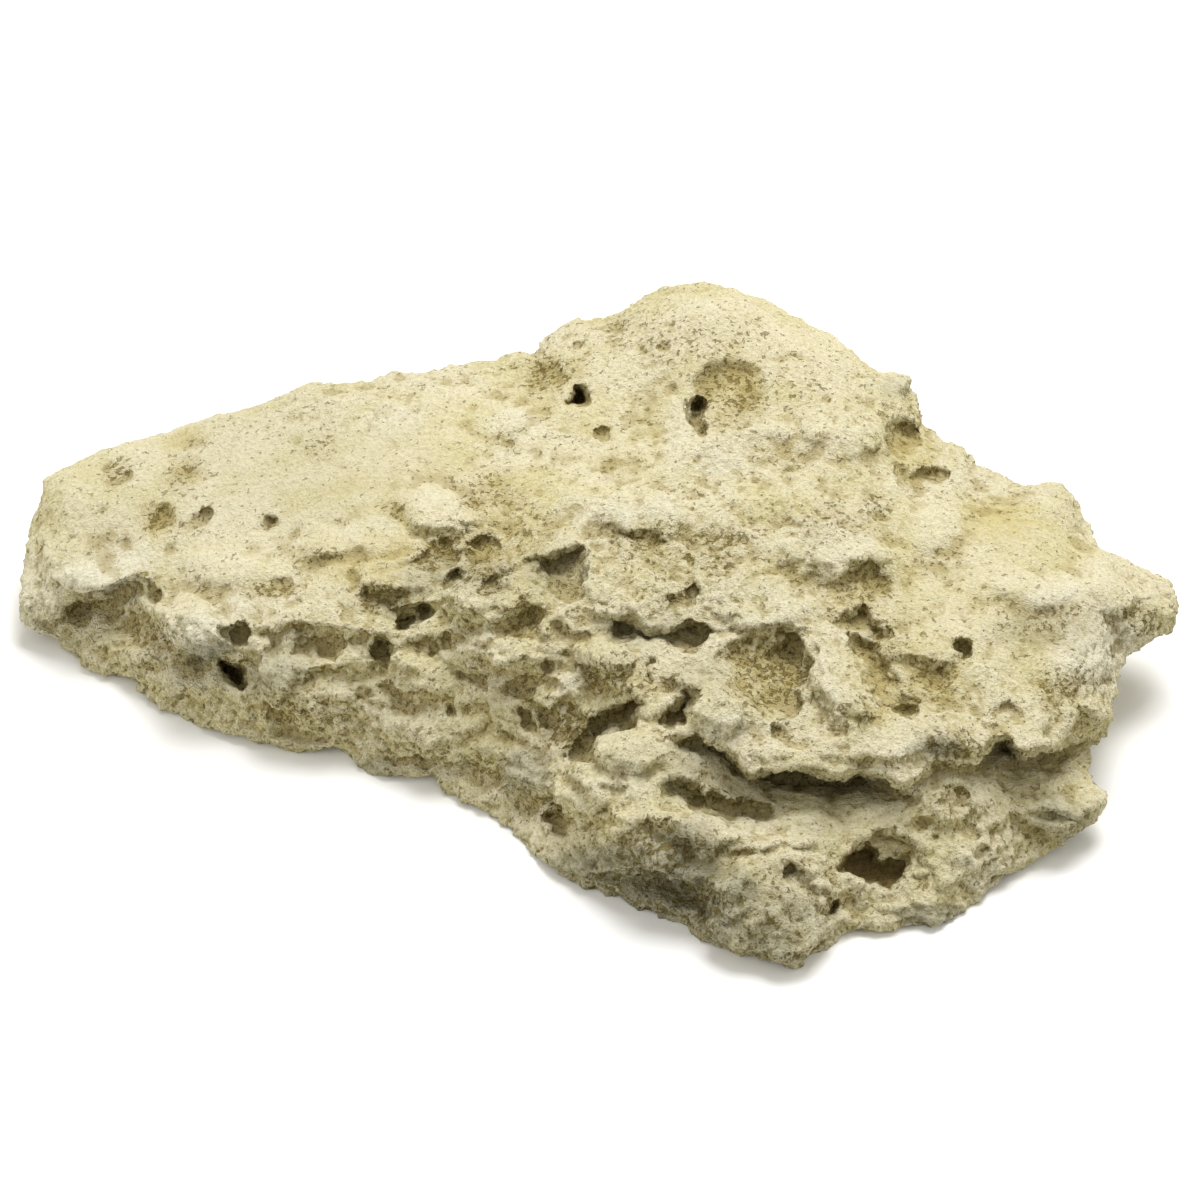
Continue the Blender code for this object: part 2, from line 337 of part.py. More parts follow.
def from_sight(across, up, near):
    """World points in millimetres of places given across, up and near."""
    spread = 1 - near / SIGHT_DISTANCE
    x = AIM[0] + across * spread
    y = AIM[1] + up * spread * math.sin(SIGHT_TILT) - near * math.cos(SIGHT_TILT)
    z = AIM[2] + up * spread * math.cos(SIGHT_TILT) + near * math.sin(SIGHT_TILT)
    return np.stack([x, y, z], axis=-1)


def to_sight(points):
    """Across, up and near of world points in millimetres."""
    x, y, z = (points - AIM).T
    near = z * math.sin(SIGHT_TILT) - y * math.cos(SIGHT_TILT)
    spread = 1 - near / SIGHT_DISTANCE
    up = (y * math.sin(SIGHT_TILT) + z * math.cos(SIGHT_TILT)) / spread
    return x / spread, up, near


def plate(knots, values, give=2.0):
    """A thin plate bent through the values at the knots, as a function of across and up."""
    knots = np.asarray(knots, float)
    count = len(knots)

    def bend(squared):
        return squared * np.log(squared + 1e-9)

    apart = ((knots[:, None] - knots[None]) ** 2).sum(-1)
    flat = np.column_stack([np.ones(count), knots])
    system = np.zeros((count + 3, count + 3))
    system[:count, :count] = bend(apart) + give * np.eye(count)
    system[:count, count:] = flat
    system[count:, :count] = flat.T
    weights = np.linalg.solve(system, np.append(values, np.zeros(3)))

    def height(across, up):
        total = weights[count] + weights[count + 1] * across + weights[count + 2] * up
        for knot, weight in zip(knots, weights[:count]):
            total = total + weight * bend((across - knot[0]) ** 2 + (up - knot[1]) ** 2)
        return total

    return height


def bed(spots):
    """One face of the stone, through the outline and the given spots."""
    rim = np.array(OUTLINE, float)
    inner = np.array(spots, float)
    knots = np.vstack([rim[:, :2], inner[:, :2]])
    near = near_for_height(knots[:, 0], knots[:, 1], np.append(rim[:, 2], inner[:, 2]))
    near[len(rim):] -= EDGE_BULGE
    return plate(knots, near)


def hidden_bed():
    """The back and the sole, through the outline and the hidden spots."""
    rim = np.array(OUTLINE, float)
    across, up, near = to_sight(np.array(HIDDEN, float))
    knots = np.vstack([rim[:, :2], np.column_stack([across, up])])
    rim_near = near_for_height(rim[:, 0], rim[:, 1], rim[:, 2])
    return plate(knots, np.append(rim_near, near + EDGE_BULGE))


def smooth_step(value):
    """Eases from 0 to 1, level at both ends."""
    value = np.clip(value, 0, 1)
    return value * value * (3 - 2 * value)


def inside(across, up, place):
    """Place in a turned ellipse: 0 in its middle and 1 on its edge, and how far over its middle line."""
    turn = math.radians(place[4])
    right = across - place[0]
    above = up - place[1]
    along = (right * math.cos(turn) + above * math.sin(turn)) / place[2]
    over = (above * math.cos(turn) - right * math.sin(turn)) / place[3]
    return along ** 2 + over ** 2, np.clip(over, -1, 1)


def hashed(cells, salt):
    """A repeatable random number from 0 to 1 for each whole-numbered cell."""
    n = cells[..., 0] * 73856093 ^ cells[..., 1] * 19349663 ^ cells[..., 2] * 83492791 ^ salt * 1013904223
    n = ((n & 0xFFFFFFFF) ^ ((n & 0xFFFFFFFF) >> 15)) * 73244475 & 0xFFFFFFFF
    n = (n ^ (n >> 13)) * 19349669 & 0xFFFFFFFF
    return ((n ^ (n >> 16)) & 0xFFFFFF) / 0xFFFFFF


def drift(points, size, salt):
    """Smooth noise from -1 to 1, whose swells are about the given size."""
    scaled = points / size
    cell = np.floor(scaled).astype(np.int64)
    part = scaled - cell
    ease = part ** 3 * (part * (part * 6 - 15) + 10)
    total = np.zeros(len(points))
    for corner in np.ndindex(2, 2, 2):
        at = cell + corner
        slope = np.stack([hashed(at, salt + axis) for axis in range(3)], axis=-1) * 2 - 1
        share = np.prod(np.where(corner, ease, 1 - ease), axis=-1)
        total += share * (slope * (part - corner)).sum(-1)
    return total * 1.6


def bowls(points, size, salt):
    """Dissolved bowls side by side: 0 on the sharp ridges between them, down to -1 in their middles."""
    bend = np.stack([drift(points, size * 1.3, salt + k) for k in (3, 7, 11)], axis=-1)
    scaled = (points + size * 0.45 * bend) / size
    cell = np.floor(scaled).astype(np.int64)
    first = np.full(len(points), 9.0)
    second = np.full(len(points), 9.0)
    depth = np.zeros(len(points))
    for step in np.ndindex(3, 3, 3):
        at = cell + np.array(step) - 1
        middle = at + np.stack([hashed(at, salt + 20 + axis) for axis in range(3)], axis=-1)
        away = np.sqrt(((middle - scaled) ** 2).sum(-1))
        closer = away < first
        second = np.where(closer, first, np.minimum(second, away))
        depth = np.where(closer, 0.25 + 0.75 * hashed(at, salt + 30), depth)
        first = np.where(closer, away, first)
    return -depth * smooth_step((second - first) * 1.7)


def crags(points, size, salt):
    """Sharp-edged lumps from -1 to 1: the ridges of one noise laid over the swells of another."""
    bend = np.stack([drift(points, size * 0.8, salt + k) for k in (2, 5, 8)], axis=-1)
    bent = (points + size * 0.35 * bend) * (1, 1, 1.5)
    ridge = 1 - 2.4 * np.abs(drift(bent, size, salt + 12))
    return 0.5 * ridge + 0.7 * drift(bent, size * 0.7, salt + 15)


def shifted(across, up, swells):
    """The places moved by noise, so that traced edges come out ragged."""
    seen = np.column_stack([across, up, np.zeros(len(across))])
    for size, reach, salt in swells:
        across = across + reach * drift(seen, size, salt)
        up = up + reach * drift(seen, size, salt + 1)
    return across, up


def around(across, up, points, reach):
    """Which places lie within reach of the box round the points."""
    low = np.min(points, axis=0) - reach
    high = np.max(points, axis=0) + reach
    return np.flatnonzero((across > low[0]) & (across < high[0]) & (up > low[1]) & (up < high[1]))


def along_line(across, up, points):
    """Signed distance from a line, positive on its left, and the share of the way along it."""
    nearest = np.full(across.shape, 1e9)
    side = np.zeros(across.shape)
    along = np.zeros(across.shape)
    for step, ((ax, ay), (bx, by)) in enumerate(zip(points[:-1], points[1:])):
        span = (bx - ax) ** 2 + (by - ay) ** 2
        part = np.clip(((across - ax) * (bx - ax) + (up - ay) * (by - ay)) / span, 0, 1)
        away = np.hypot(across - ax - part * (bx - ax), up - ay - part * (by - ay))
        left = np.sign((bx - ax) * (up - ay) - (by - ay) * (across - ax))
        closer = away < nearest
        nearest = np.where(closer, away, nearest)
        side = np.where(closer, left * away, side)
        along = np.where(closer, (step + part) / (len(points) - 1), along)
    return side, along


def from_line(across, up, points):
    """Distance from a line through the given points."""
    return np.abs(along_line(across, up, points)[0])


def depth_inside(across, up, points):
    """Distance in from the edge of a closed shape, negative outside it."""
    within = np.zeros(across.shape, bool)
    for (ax, ay), (bx, by) in zip(points, points[1:] + points[:1]):
        spans = (ay > up) != (by > up)
        within ^= spans & (across < ax + (up - ay) * (bx - ax) / (by - ay + 1e-9))
    return from_line(across, up, points + points[:1]) * np.where(within, 1, -1)


def pits(across, up):
    """Depth of the hollows and caves: steep on the deep side, sloping on the shallow one."""
    across, up = shifted(across, up, RAGGED)
    deepest = np.zeros(len(across))
    for depth, wall, shallow, toward, points in PITS:
        here = around(across, up, points, 1)
        way = np.array([math.cos(math.radians(toward)), math.sin(math.radians(toward))])
        marks = np.array(points) @ way
        over = (across[here] * way[0] + up[here] * way[1] - marks.min()) / np.ptp(marks)
        over = np.clip(over, 0, 1)
        wide = wall * (2 - 1.1 * over)
        deep = np.clip((depth_inside(across[here], up[here], points) + 0.5) / wide, 0, 1)
        floor = shallow + (1 - shallow) * over
        deepest[here] = np.maximum(deepest[here], depth * deep * (2 - deep) * floor)
    return deepest


def relief(across, up):
    """Lumps, crests and brows out of the face, and grooves into it, towards the sight point."""
    wavy_across, wavy_up = shifted(across, up, WAVY)
    out = np.zeros(len(across))
    for place in LUMPS:
        apart, over = inside(wavy_across, wavy_up, place)
        out += place[5] * (1 - smooth_step(apart / 1.6)) * (1 - 0.25 * over)
    for width, height, points in CRESTS:
        out += height * np.exp(-from_line(wavy_across, wavy_up, points) / width)
    for width, depth, points in GROOVES:
        out -= depth * np.exp(-(from_line(wavy_across, wavy_up, points) / width) ** 4)
    ragged_across, ragged_up = shifted(across, up, RAGGED)
    for height, above, below, points in BROWS:
        here = around(ragged_across, ragged_up, points, 3 * max(above, below))
        side, along = along_line(ragged_across[here], ragged_up[here], points)
        over = 0.5 + 0.5 * np.tanh(side / 0.6)
        stands = 0.4 * np.exp(-np.abs(side) / above) * over
        recedes = 0.6 * np.exp(-np.abs(side) / below) * (1 - over)
        out[here] += height * (stands - recedes) * (1 - (2 * along - 1) ** 6)
    return out


def rim_reach(angle):
    """Distance from the middle out to the outline, at an angle round the sight line."""
    rim = np.array(OUTLINE, float)[:, :2] - MIDDLE
    angles = np.arctan2(rim[:, 1], rim[:, 0])
    order = np.argsort(angles)
    reaches = np.hypot(rim[:, 0], rim[:, 1])
    return np.interp(angle, angles[order], reaches[order], period=2 * math.pi)


def roughness(across, up, level):
    """1 where the skin is fully weathered, less on the smooth slopes and where it lies level."""
    rough = np.ones(np.shape(across))
    for place in SMOOTH_AREAS:
        rough -= place[4] * (1 - smooth_step(inside(across, up, (*place[:4], 0))[0] / 1.5))
    worn = 1 - (1 - np.clip(rough, 0.2, 1)) * smooth_step(level * 2.5)
    return worn * (1 - 0.4 * smooth_step((level - 0.5) / 0.35))


def coordinates(mesh, kind="co"):
    """The mesh's points, or its normals, as rows of three."""
    flat = np.empty(len(mesh.vertices) * 3)
    mesh.vertices.foreach_get(kind, flat)
    return flat.reshape(-1, 3)


def set_coordinates(mesh, points):
    mesh.vertices.foreach_set("co", points.ravel())
    mesh.update()


def new_object(name, mesh, collection):
    made = bpy.data.objects.new(name, mesh)
    collection.objects.link(made)
    return made


def finished(rock):
    """Replaces the object's mesh by what its modifiers make of it."""
    graph = bpy.context.evaluated_depsgraph_get()
    done = bpy.data.meshes.new_from_object(rock.evaluated_get(graph))
    spent = rock.data
    rock.modifiers.clear()
    rock.data = done
    bpy.data.meshes.remove(spent)


def remesh(rock, size):
    """Rebuilds the skin with even faces; size in millimetres."""
    modifier = rock.modifiers.new("Even faces", "REMESH")
    modifier.mode = "VOXEL"
    modifier.voxel_size = size
    finished(rock)


def pressed_ball(collection):
    """A ball whose equator is the outline, its near half the face and its far half the back and sole."""
    shape = bmesh.new()
    bmesh.ops.create_uvsphere(shape, u_segments=480, v_segments=360, radius=1)
    mesh = bpy.data.meshes.new("shelf_rock")
    shape.to_mesh(mesh)
    shape.free()
    ball = coordinates(mesh)
    out = np.minimum(np.hypot(ball[:, 0], ball[:, 1]), 1)
    angle = np.arctan2(ball[:, 1], ball[:, 0])
    reach = rim_reach(angle)
    across = MIDDLE[0] + out * reach * np.cos(angle)
    up = MIDDLE[1] + out * reach * np.sin(angle)
    edge = np.clip((1 - out) * reach / EDGE_ROUND, 0, 1)
    bulge = EDGE_BULGE * np.sqrt(1 - (1 - edge) ** 2)

    lip = np.array(LIP, float)
    over_lip = smooth_step((up - np.interp(across, lip[:, 0], lip[:, 1])) / LIP_STEP + 0.5)
    over_lip = np.maximum(over_lip, smooth_step((LIP_START - across) / LIP_FADE))
    upper = bed(FACE + SHELF)(across, up)
    lower = bed(FACE + LEDGE)(across, up)
    plain = lower * (1 - over_lip) + upper * over_lip + bulge
    face = plain + (relief(across, up) - pits(across, up)) * smooth_step(edge * 1.6)
    lowest = near_for_height(across, up, LEAST_BODY)
    face = np.maximum(face, np.minimum(plain, lowest))
    back = np.minimum(hidden_bed()(across, up) - bulge, face - LEAST_WALL * edge)
    near = np.where(ball[:, 2] > 0, face, back)
    near = np.where(out > 0.99999, 0.5 * (face + back), near)
    set_coordinates(mesh, from_sight(across, up, near))
    return new_object("shelf_rock", mesh, collection)


def weathered(rock):
    """Moves the skin along its own normals into swells, crags and dissolved bowls."""
    points = coordinates(rock.data)
    normals = coordinates(rock.data, "normal")
    across, up, _ = to_sight(points)
    rough = roughness(across, up, normals[:, 2])
    hidden = 1 - smooth_step(normals @ TO_SIGHT * 2)
    move = SWELL_HEIGHT * drift(points, SWELL_SIZE, 1) - SKIN_LOSS
    for step, (size, seen_height, hidden_height) in enumerate(CRAGS):
        height = seen_height + (hidden_height - seen_height) * hidden
        move += height * rough * crags(points, size, 620 + 30 * step)
    for step, (size, seen_depth, hidden_depth) in enumerate(BOWLS):
        depth = seen_depth + (hidden_depth - seen_depth) * hidden
        move += depth * rough * bowls(points, size, 50 * (step + 1))
    set_coordinates(rock.data, points + normals * move[:, None])


def as_cutter(cutter):
    """Hides the cutter from renders and draws it as a wire."""
    cutter.hide_render = True
    cutter.display_type = "WIRE"
    return cutter


def slot_cutter(collection):
    """A worm-shaped cutter along the slot under the lip."""
    curve = bpy.data.curves.new("slot_under_lip", "CURVE")
    curve.dimensions = "3D"
    curve.bevel_depth = SLOT_RADIUS
    curve.bevel_resolution = 3
    curve.use_fill_caps = True
    spline = curve.splines.new("POLY")
    spline.points.add(len(SLOT) - 1)
    places = from_sight(*np.array(SLOT, float).T)
    for point, place in zip(spline.points, places):
        point.co = (*place, 1)
    guide = new_object("slot_guide", curve, collection)
    graph = bpy.context.evaluated_depsgraph_get()
    mesh = bpy.data.meshes.new_from_object(guide.evaluated_get(graph))
    bpy.data.objects.remove(guide)
    shape = bmesh.new()
    shape.from_mesh(mesh)
    bmesh.ops.remove_doubles(shape, verts=shape.verts, dist=0.001)
    bmesh.ops.recalc_face_normals(shape, faces=shape.faces)
    shape.to_mesh(mesh)
    shape.free()
    return as_cutter(new_object("slot_under_lip", mesh, collection))


def table_cutter(collection):
    """A block whose top is the table, for the flat the stone rests on."""
    wide = 600
    high = 60
    shape = bmesh.new()
    bmesh.ops.create_cube(shape, size=1)
    bmesh.ops.scale(shape, vec=(wide, wide, high), verts=shape.verts)
    bmesh.ops.translate(shape, vec=(0, 0, -high / 2), verts=shape.verts)
    mesh = bpy.data.meshes.new("table_plane")
    shape.to_mesh(mesh)
    shape.free()
    return as_cutter(new_object("table_plane", mesh, collection))


def cut(rock, cutter, name):
    modifier = rock.modifiers.new(name, "BOOLEAN")
    modifier.operation = "DIFFERENCE"
    modifier.solver = "EXACT"
    modifier.object = cutter
    finished(rock)


def thinned(rock, most):
    """Fewer triangles, kept where the skin bends most."""
    modifier = rock.modifiers.new("Fewer faces", "DECIMATE")
    rock.data.calc_loop_triangles()
    modifier.ratio = most / len(rock.data.loop_triangles)
    modifier.use_collapse_triangulate = True
    finished(rock)


def placed(rock):
    """The stone at its real length, in metres, over the middle of its box."""
    points = coordinates(rock.data)
    low = points.min(axis=0)
    high = points.max(axis=0)
    middle = np.array([(low[0] + high[0]) / 2, (low[1] + high[1]) / 2, low[2]])
    set_coordinates(rock.data, (points - middle) * (LENGTH / (high[0] - low[0])))


def limestone():
    material = bpy.data.materials.new("reef_limestone")
    material.use_nodes = True
    shader = material.node_tree.nodes["Principled BSDF"]
    shader.inputs["Base Color"].default_value = STONE_COLOUR
    shader.inputs["Roughness"].default_value = STONE_ROUGHNESS
    shader.inputs["Metallic"].default_value = 0.0
    return material


def main():
    for leftover in list(bpy.data.objects):
        bpy.data.objects.remove(leftover)
    parts = bpy.data.collections.new("aquarium_shelf_rock")
    cutters = bpy.data.collections.new("cutters")
    bpy.context.scene.collection.children.link(parts)
    bpy.context.scene.collection.children.link(cutters)

    rock = pressed_ball(parts)
    remesh(rock, FACE_SPACING / MM)
    weathered(rock)
    cut(rock, slot_cutter(cutters), "Slot under the lip")
    remesh(rock, FACE_SPACING / MM)
    thinned(rock, MOST_TRIANGLES)
    cut(rock, table_cutter(cutters), "Flat to rest on")
    placed(rock)
    rock.data.materials.clear()
    rock.data.materials.append(limestone())


main()
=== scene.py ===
"""Looks of the aquarium shelf rock: one slab of pale, porous reef limestone on a pale studio floor."""
import math

import bmesh
import bpy
import numpy as np
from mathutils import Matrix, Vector


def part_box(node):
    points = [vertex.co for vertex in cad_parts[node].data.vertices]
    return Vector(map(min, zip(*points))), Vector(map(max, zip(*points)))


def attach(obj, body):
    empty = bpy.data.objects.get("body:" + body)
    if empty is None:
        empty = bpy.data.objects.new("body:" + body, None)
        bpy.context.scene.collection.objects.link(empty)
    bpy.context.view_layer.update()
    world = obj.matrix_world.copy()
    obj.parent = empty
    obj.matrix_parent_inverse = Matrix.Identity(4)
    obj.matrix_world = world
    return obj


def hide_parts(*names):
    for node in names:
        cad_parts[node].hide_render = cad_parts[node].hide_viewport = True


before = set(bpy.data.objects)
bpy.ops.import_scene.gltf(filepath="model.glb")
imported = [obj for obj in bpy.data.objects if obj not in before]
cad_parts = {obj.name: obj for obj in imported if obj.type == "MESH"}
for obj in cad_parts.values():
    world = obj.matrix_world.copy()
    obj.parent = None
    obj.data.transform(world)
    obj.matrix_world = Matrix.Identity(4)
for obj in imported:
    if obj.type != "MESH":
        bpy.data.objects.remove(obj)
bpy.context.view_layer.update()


# The stone's form. It is one weathered slab of reef limestone in two beds: a broad sloping upper
# shelf whose front edge is a thin lip, and a lower ledge that stands out under it.

# It is laid out in millimetres as seen from a sight point in front and above. Across and up lie in the
# plane through the aim point, square to the line of sight; near is how far in front of it a point is.
SIGHT_TILT = math.radians(40)
SIGHT_DISTANCE = 1600.0
AIM = np.array([3.0, 17.0, 35.0])

# The middle of the rings, across and up; how far in the rim is rounded, and by how much on each side;
# how far the face stays over the table, and off the back; and how fine the rings are.
MIDDLE = np.array([20.0, -10.0])
EDGE_ROUND = 8.0
EDGE_BULGE = 4.5
LEAST_BODY = 6.0
LEAST_WALL = 13.0
ANGLES = 1440
FACE_RINGS = 330
BACK_RINGS = 130

# The outline, across, up and height: left end, back edge, right tip, front edge, front tip, left foot.
OUTLINE = [
    (-193, -1, 12), (-192, 12, 17), (-188, 28, 25), (-184, 42, 33), (-169, 50, 38), (-144, 57.5, 43),
    (-116, 64.5, 48), (-104.5, 69.5, 50), (-77, 74.5, 53), (-53, 78.5, 55), (-33, 81, 56),
    (-21, 84, 58), (-17, 91, 61), (-8, 94, 63), (2, 95, 64), (17, 102.5, 69), (25, 106, 72),
    (35, 107, 74), (47, 104.5, 73), (55, 101, 71), (69, 93, 67), (78, 90, 64), (87, 82, 62),
    (93, 78.5, 60), (103, 76, 58), (105, 68, 54), (108, 60, 50), (123, 49, 45), (127, 44, 42),
    (139, 39, 41), (153.5, 40, 42), (159, 31, 40), (165, 20, 38), (178.5, 12.5, 35), (189, 8, 32),
    (192, 0, 30), (189.5, -10, 25), (174.5, -17.5, 24), (170.5, -27, 25), (170.5, -38, 25),
    (161.5, -47, 17), (163, -57, 15), (166.5, -66, 13), (163.5, -72, 9), (157, -78, 7), (155, -82.5, 3),
    (144, -86.5, 2), (130, -96.5, 1), (120, -102.5, 1), (116, -107.5, 0), (97, -108.5, 0),
    (82, -109, 1), (72, -116.5, 0), (66, -122.5, 0), (55, -119.5, 0), (35, -112, 0), (28, -107, 0),
    (10, -98.5, 0), (-8, -93.5, 0), (-17, -88, 1), (-28, -79.5, 0), (-36, -70, 1), (-49, -65, 0),
    (-57, -58.5, 1), (-72, -58.5, 0), (-88, -50.5, 0), (-112, -47.5, 0), (-132, -42, 0), (-147, -34, 1),
    (-155, -26, 2), (-167, -22, 1), (-181, -12, 3), (-191.5, -6, 8),
]

# Across, up and height of the stone's face where its two beds are one.
FACE = [
    (-178, 38, 40), (-183, 15, 28), (-167, 40, 42), (-167, 20, 33), (-150, 47, 46), (-150, 20, 38),
    (-150, 5, 31), (-133, 43, 49), (-133, 20, 43), (-133, 2, 36), (-133, -12, 31), (-133, -20, 19),
    (-170, 5, 25), (-170, -2, 15), (-107, -5, 37), (-80, -8, 41), (-155, 4, 29), (-157, -4, 18),
    (-110, 53, 53), (-110, 27, 48), (-110, 3, 41), (-83, 62, 58), (-83, 27, 53), (-83, 3, 46),
    (-57, 67, 60), (-57, 40, 57), (-57, 20, 54), (-37, 60, 61), (-37, 40, 58), (-37, 18, 54),
    (-20, 67, 63), (-20, 40, 60), (-3, 57, 64), (-13, 80, 66), (3, 83, 70), (0, 40, 61), (17, 92, 75),
    (33, 97, 80), (47, 93, 79), (17, 67, 68), (60, 82, 74), (77, 77, 71), (45, 67, 71), (60, 50, 66),
    (33, 57, 69), (27, 35, 65), (90, 57, 67), (90, 40, 63), (67, 53, 67), (33, 15, 61), (67, 27, 62),
    (53, 5, 59), (87, 20, 60), (67, 0, 56), (105, 45, 56), (117, 35, 55), (117, 20, 53), (117, 0, 51),
    (117, -17, 49), (150, 35, 49), (150, 17, 50), (150, 0, 48), (135, 28, 52), (167, 17, 46),
    (167, 0, 44), (183, 4, 38), (183, -5, 34), (90, -3, 52), (33, -17, 54), (13, -17, 52),
    (-167, -10, 13), (-150, -15, 17), (-150, -27, 6), (-133, -25, 17), (-133, -37, 5), (-113, -28, 22),
    (-113, -43, 7), (-90, -27, 27), (-90, -45, 8), (-67, -20, 33), (-67, -40, 17), (-67, -53, 6),
    (-43, -13, 43), (-43, -33, 28), (-43, -53, 11), (-23, -7, 52), (-23, -30, 36), (-23, -53, 20),
    (-23, -73, 6), (-3, -7, 53), (-3, -27, 42), (-3, -43, 34), (-3, -83, 11), (-3, -63, 28),
    (13, -53, 36), (13, -77, 27), (13, -93, 9),
]

# The same of the upper bed alone, out to its lip.
SHELF = [
    (13, -33, 46), (33, -33, 50), (33, -45, 44), (50, -35, 48), (50, -54, 40), (67, -33, 47),
    (67, -52, 41), (83, -33, 48), (90, -20, 48), (90, -53, 39), (105, -56, 38), (117, -33, 43),
    (117, -52, 38), (130, -45, 39), (150, -17, 44), (150, -33, 41), (150, -46, 37),
    (165, -17, 39), (165, -35, 34), (90, -68, 33), (130, -62, 30), (50, -70, 33), (150, -62, 28),
]

# The same of the lower bed alone: the floor of the slot, the ledge and its front.
LEDGE = [
    (33, -50, 38), (33, -60, 33), (33, -67, 31), (33, -83, 24), (33, -100, 10), (50, -59, 25),
    (50, -68, 27), (50, -80, 24), (50, -100, 15), (67, -58, 18), (67, -68, 25), (67, -83, 24),
    (67, -100, 14), (90, -58, 21), (90, -68, 25), (90, -80, 20), (90, -100, 8), (105, -61, 29),
    (105, -70, 25), (117, -60, 31), (117, -77, 20), (117, -95, 8), (135, -50, 20), (135, -65, 21),
    (133, -82, 12), (150, -50, 18), (150, -65, 18), (150, -80, 7), (162, -64, 15),
    (67, -33, 20), (100, -33, 20), (140, -33, 18),
]

# The lip of the upper bed: across and up of its lower edge, how softly it ends below, and where it
# fades into the stone at its left end.
LIP_SOFTNESS = 1.6
LIP_START = 14
LIP_FADE = 6
LIP = [
    (14, -36), (22, -44), (30, -45), (37, -46), (43, -50), (50, -57), (57, -55.5), (70, -55.5), (76, -57),
    (95, -57), (100, -61), (105, -59), (112, -54), (125, -53.5), (130, -47), (135, -45), (140, -50),
    (150, -49), (157, -46), (163, -46), (175, -40),
]

# The hidden sides as x, y and height: the back from the hump out to both ends, the right tip, the sole.
HIDDEN = [
    (-188, 84, 18), (-184, 78, 4), (-176, 70, -2), (-146, 101, 28), (-145, 96, 11), (-141, 86, -2),
    (-113, 108, 30), (-112, 102, 12), (-108, 92, -2), (-77, 117, 36), (-76, 112, 16), (-74, 101, -2),
    (-36, 124, 38), (-35, 118, 17), (-33, 106, -2), (2, 137, 44), (2, 131, 22), (0, 119, 3),
    (0, 112, -3), (44, 145, 54), (45, 142, 32), (44, 133, 12), (42, 122, -3), (84, 127, 44),
    (82, 122, 22), (79, 112, 3), (77, 106, -3), (108, 104, 38), (105, 98, 18), (101, 88, -2),
    (140, 76, 26), (134, 69, 10), (126, 60, -2), (162, 66, 28), (155, 57, 13), (146, 47, 0),
    (184, 25, 18), (172, 17, 8), (156, 6, 1), (145, -25, 2), (165, -40, 10), (150, -62, 1),
    (125, -85, -3), (15, 15, -7), (-80, 0, -5), (-130, 28, -5), (60, -60, -5), (65, -120, -4),
    (20, 55, 2), (90, 15, -6), (-40, 42, 5), (100, -45, 5), (20, -45, 4), (-100, 52, 2),
    (50, 55, -4), (-30, -40, -4), (110, -10, -3), (35, -95, -5), (-50, 70, 2), (-100, 76, -3),
    (20, 98, -3), (60, 92, 2), (-160, 52, -3), (-30, 92, -4), (105, 55, -3),
]

# Lumps on the face: across, up, half length, half width, turn in degrees, height.
LUMPS = [
    (-170, 7, 10, 6, -8, 4.5), (-180, -2, 5, 4, 0, 3), (-136, -7, 14, 10, -22, 7),
    (-115, -14, 5, 5, 0, 3), (-109, -26, 10, 9, 20, 5), (-54, 31, 12, 8, -10, 6), (-75, 24, 9, 7, 0, 2.5),
    (-90, 21, 12, 6, 5, 3), (-126, 13, 14, 7, 0, 2), (-60, -24, 12, 7, -20, 4), (-68, 9, 12, 6, 0, 5),
    (-34, 3, 17, 10, 12, 8.5), (-45, 2, 7, 6, 10, 3), (-34, -15, 14, 5, -10, 5),
    (-50, -43, 16, 8, -20, 4), (-34, 63, 9, 6, 0, 2.5), (13, 31, 16, 8, -8, 5), (8, 7, 15, 12, -20, 5),
    (52, 1, 20, 8, -8, 4), (76, 19, 20, 9, -5, 6.5), (1, -17, 9, 6, -10, 6), (9, -47, 14, 8, -8, 6),
    (38, -35, 10, 7, -20, 5), (79, -24, 9, 18, 22, 5), (98, -46, 18, 7, 0, 4), (118, -42, 13, 6, -10, 5),
    (106, -14, 12, 6, -20, 4), (150, 5, 18, 6, 0, 2.5), (155, -20, 12, 8, 0, 3.5), (172, 5, 8, 7, 0, 3),
    (134, 8, 12, 6, 0, 2), (57, -103, 19, 17, 0, 6), (-8, -62, 12, 8, 20, 4), (30, -74, 16, 5, -8, 4),
    (12, -80, 14, 6, -10, 4), (150, -71, 10, 6, -10, 5), (165, -66, 6, 6, 0, 4), (98, -80, 12, 6, 0, 3),
    (120, -85, 12, 8, 20, 3), (80, 60, 14, 10, 0, 3), (60, 36, 16, 8, -10, 2), (-66, -42, 12, 6, -15, 4),
    (-92, -32, 9, 6, 0, 4), (-30, -52, 12, 6, -20, 4), (-15, -28, 9, 5, 0, 4), (-10, 38, 14, 7, 20, 3),
    (112, 25, 9, 7, 0, 3), (99, 70, 7, 7, 0, 3), (120, 53, 8, 4, -20, 2), (-160, -14, 10, 5, -15, 3),
    (-140, -28, 10, 5, -20, 3),
]

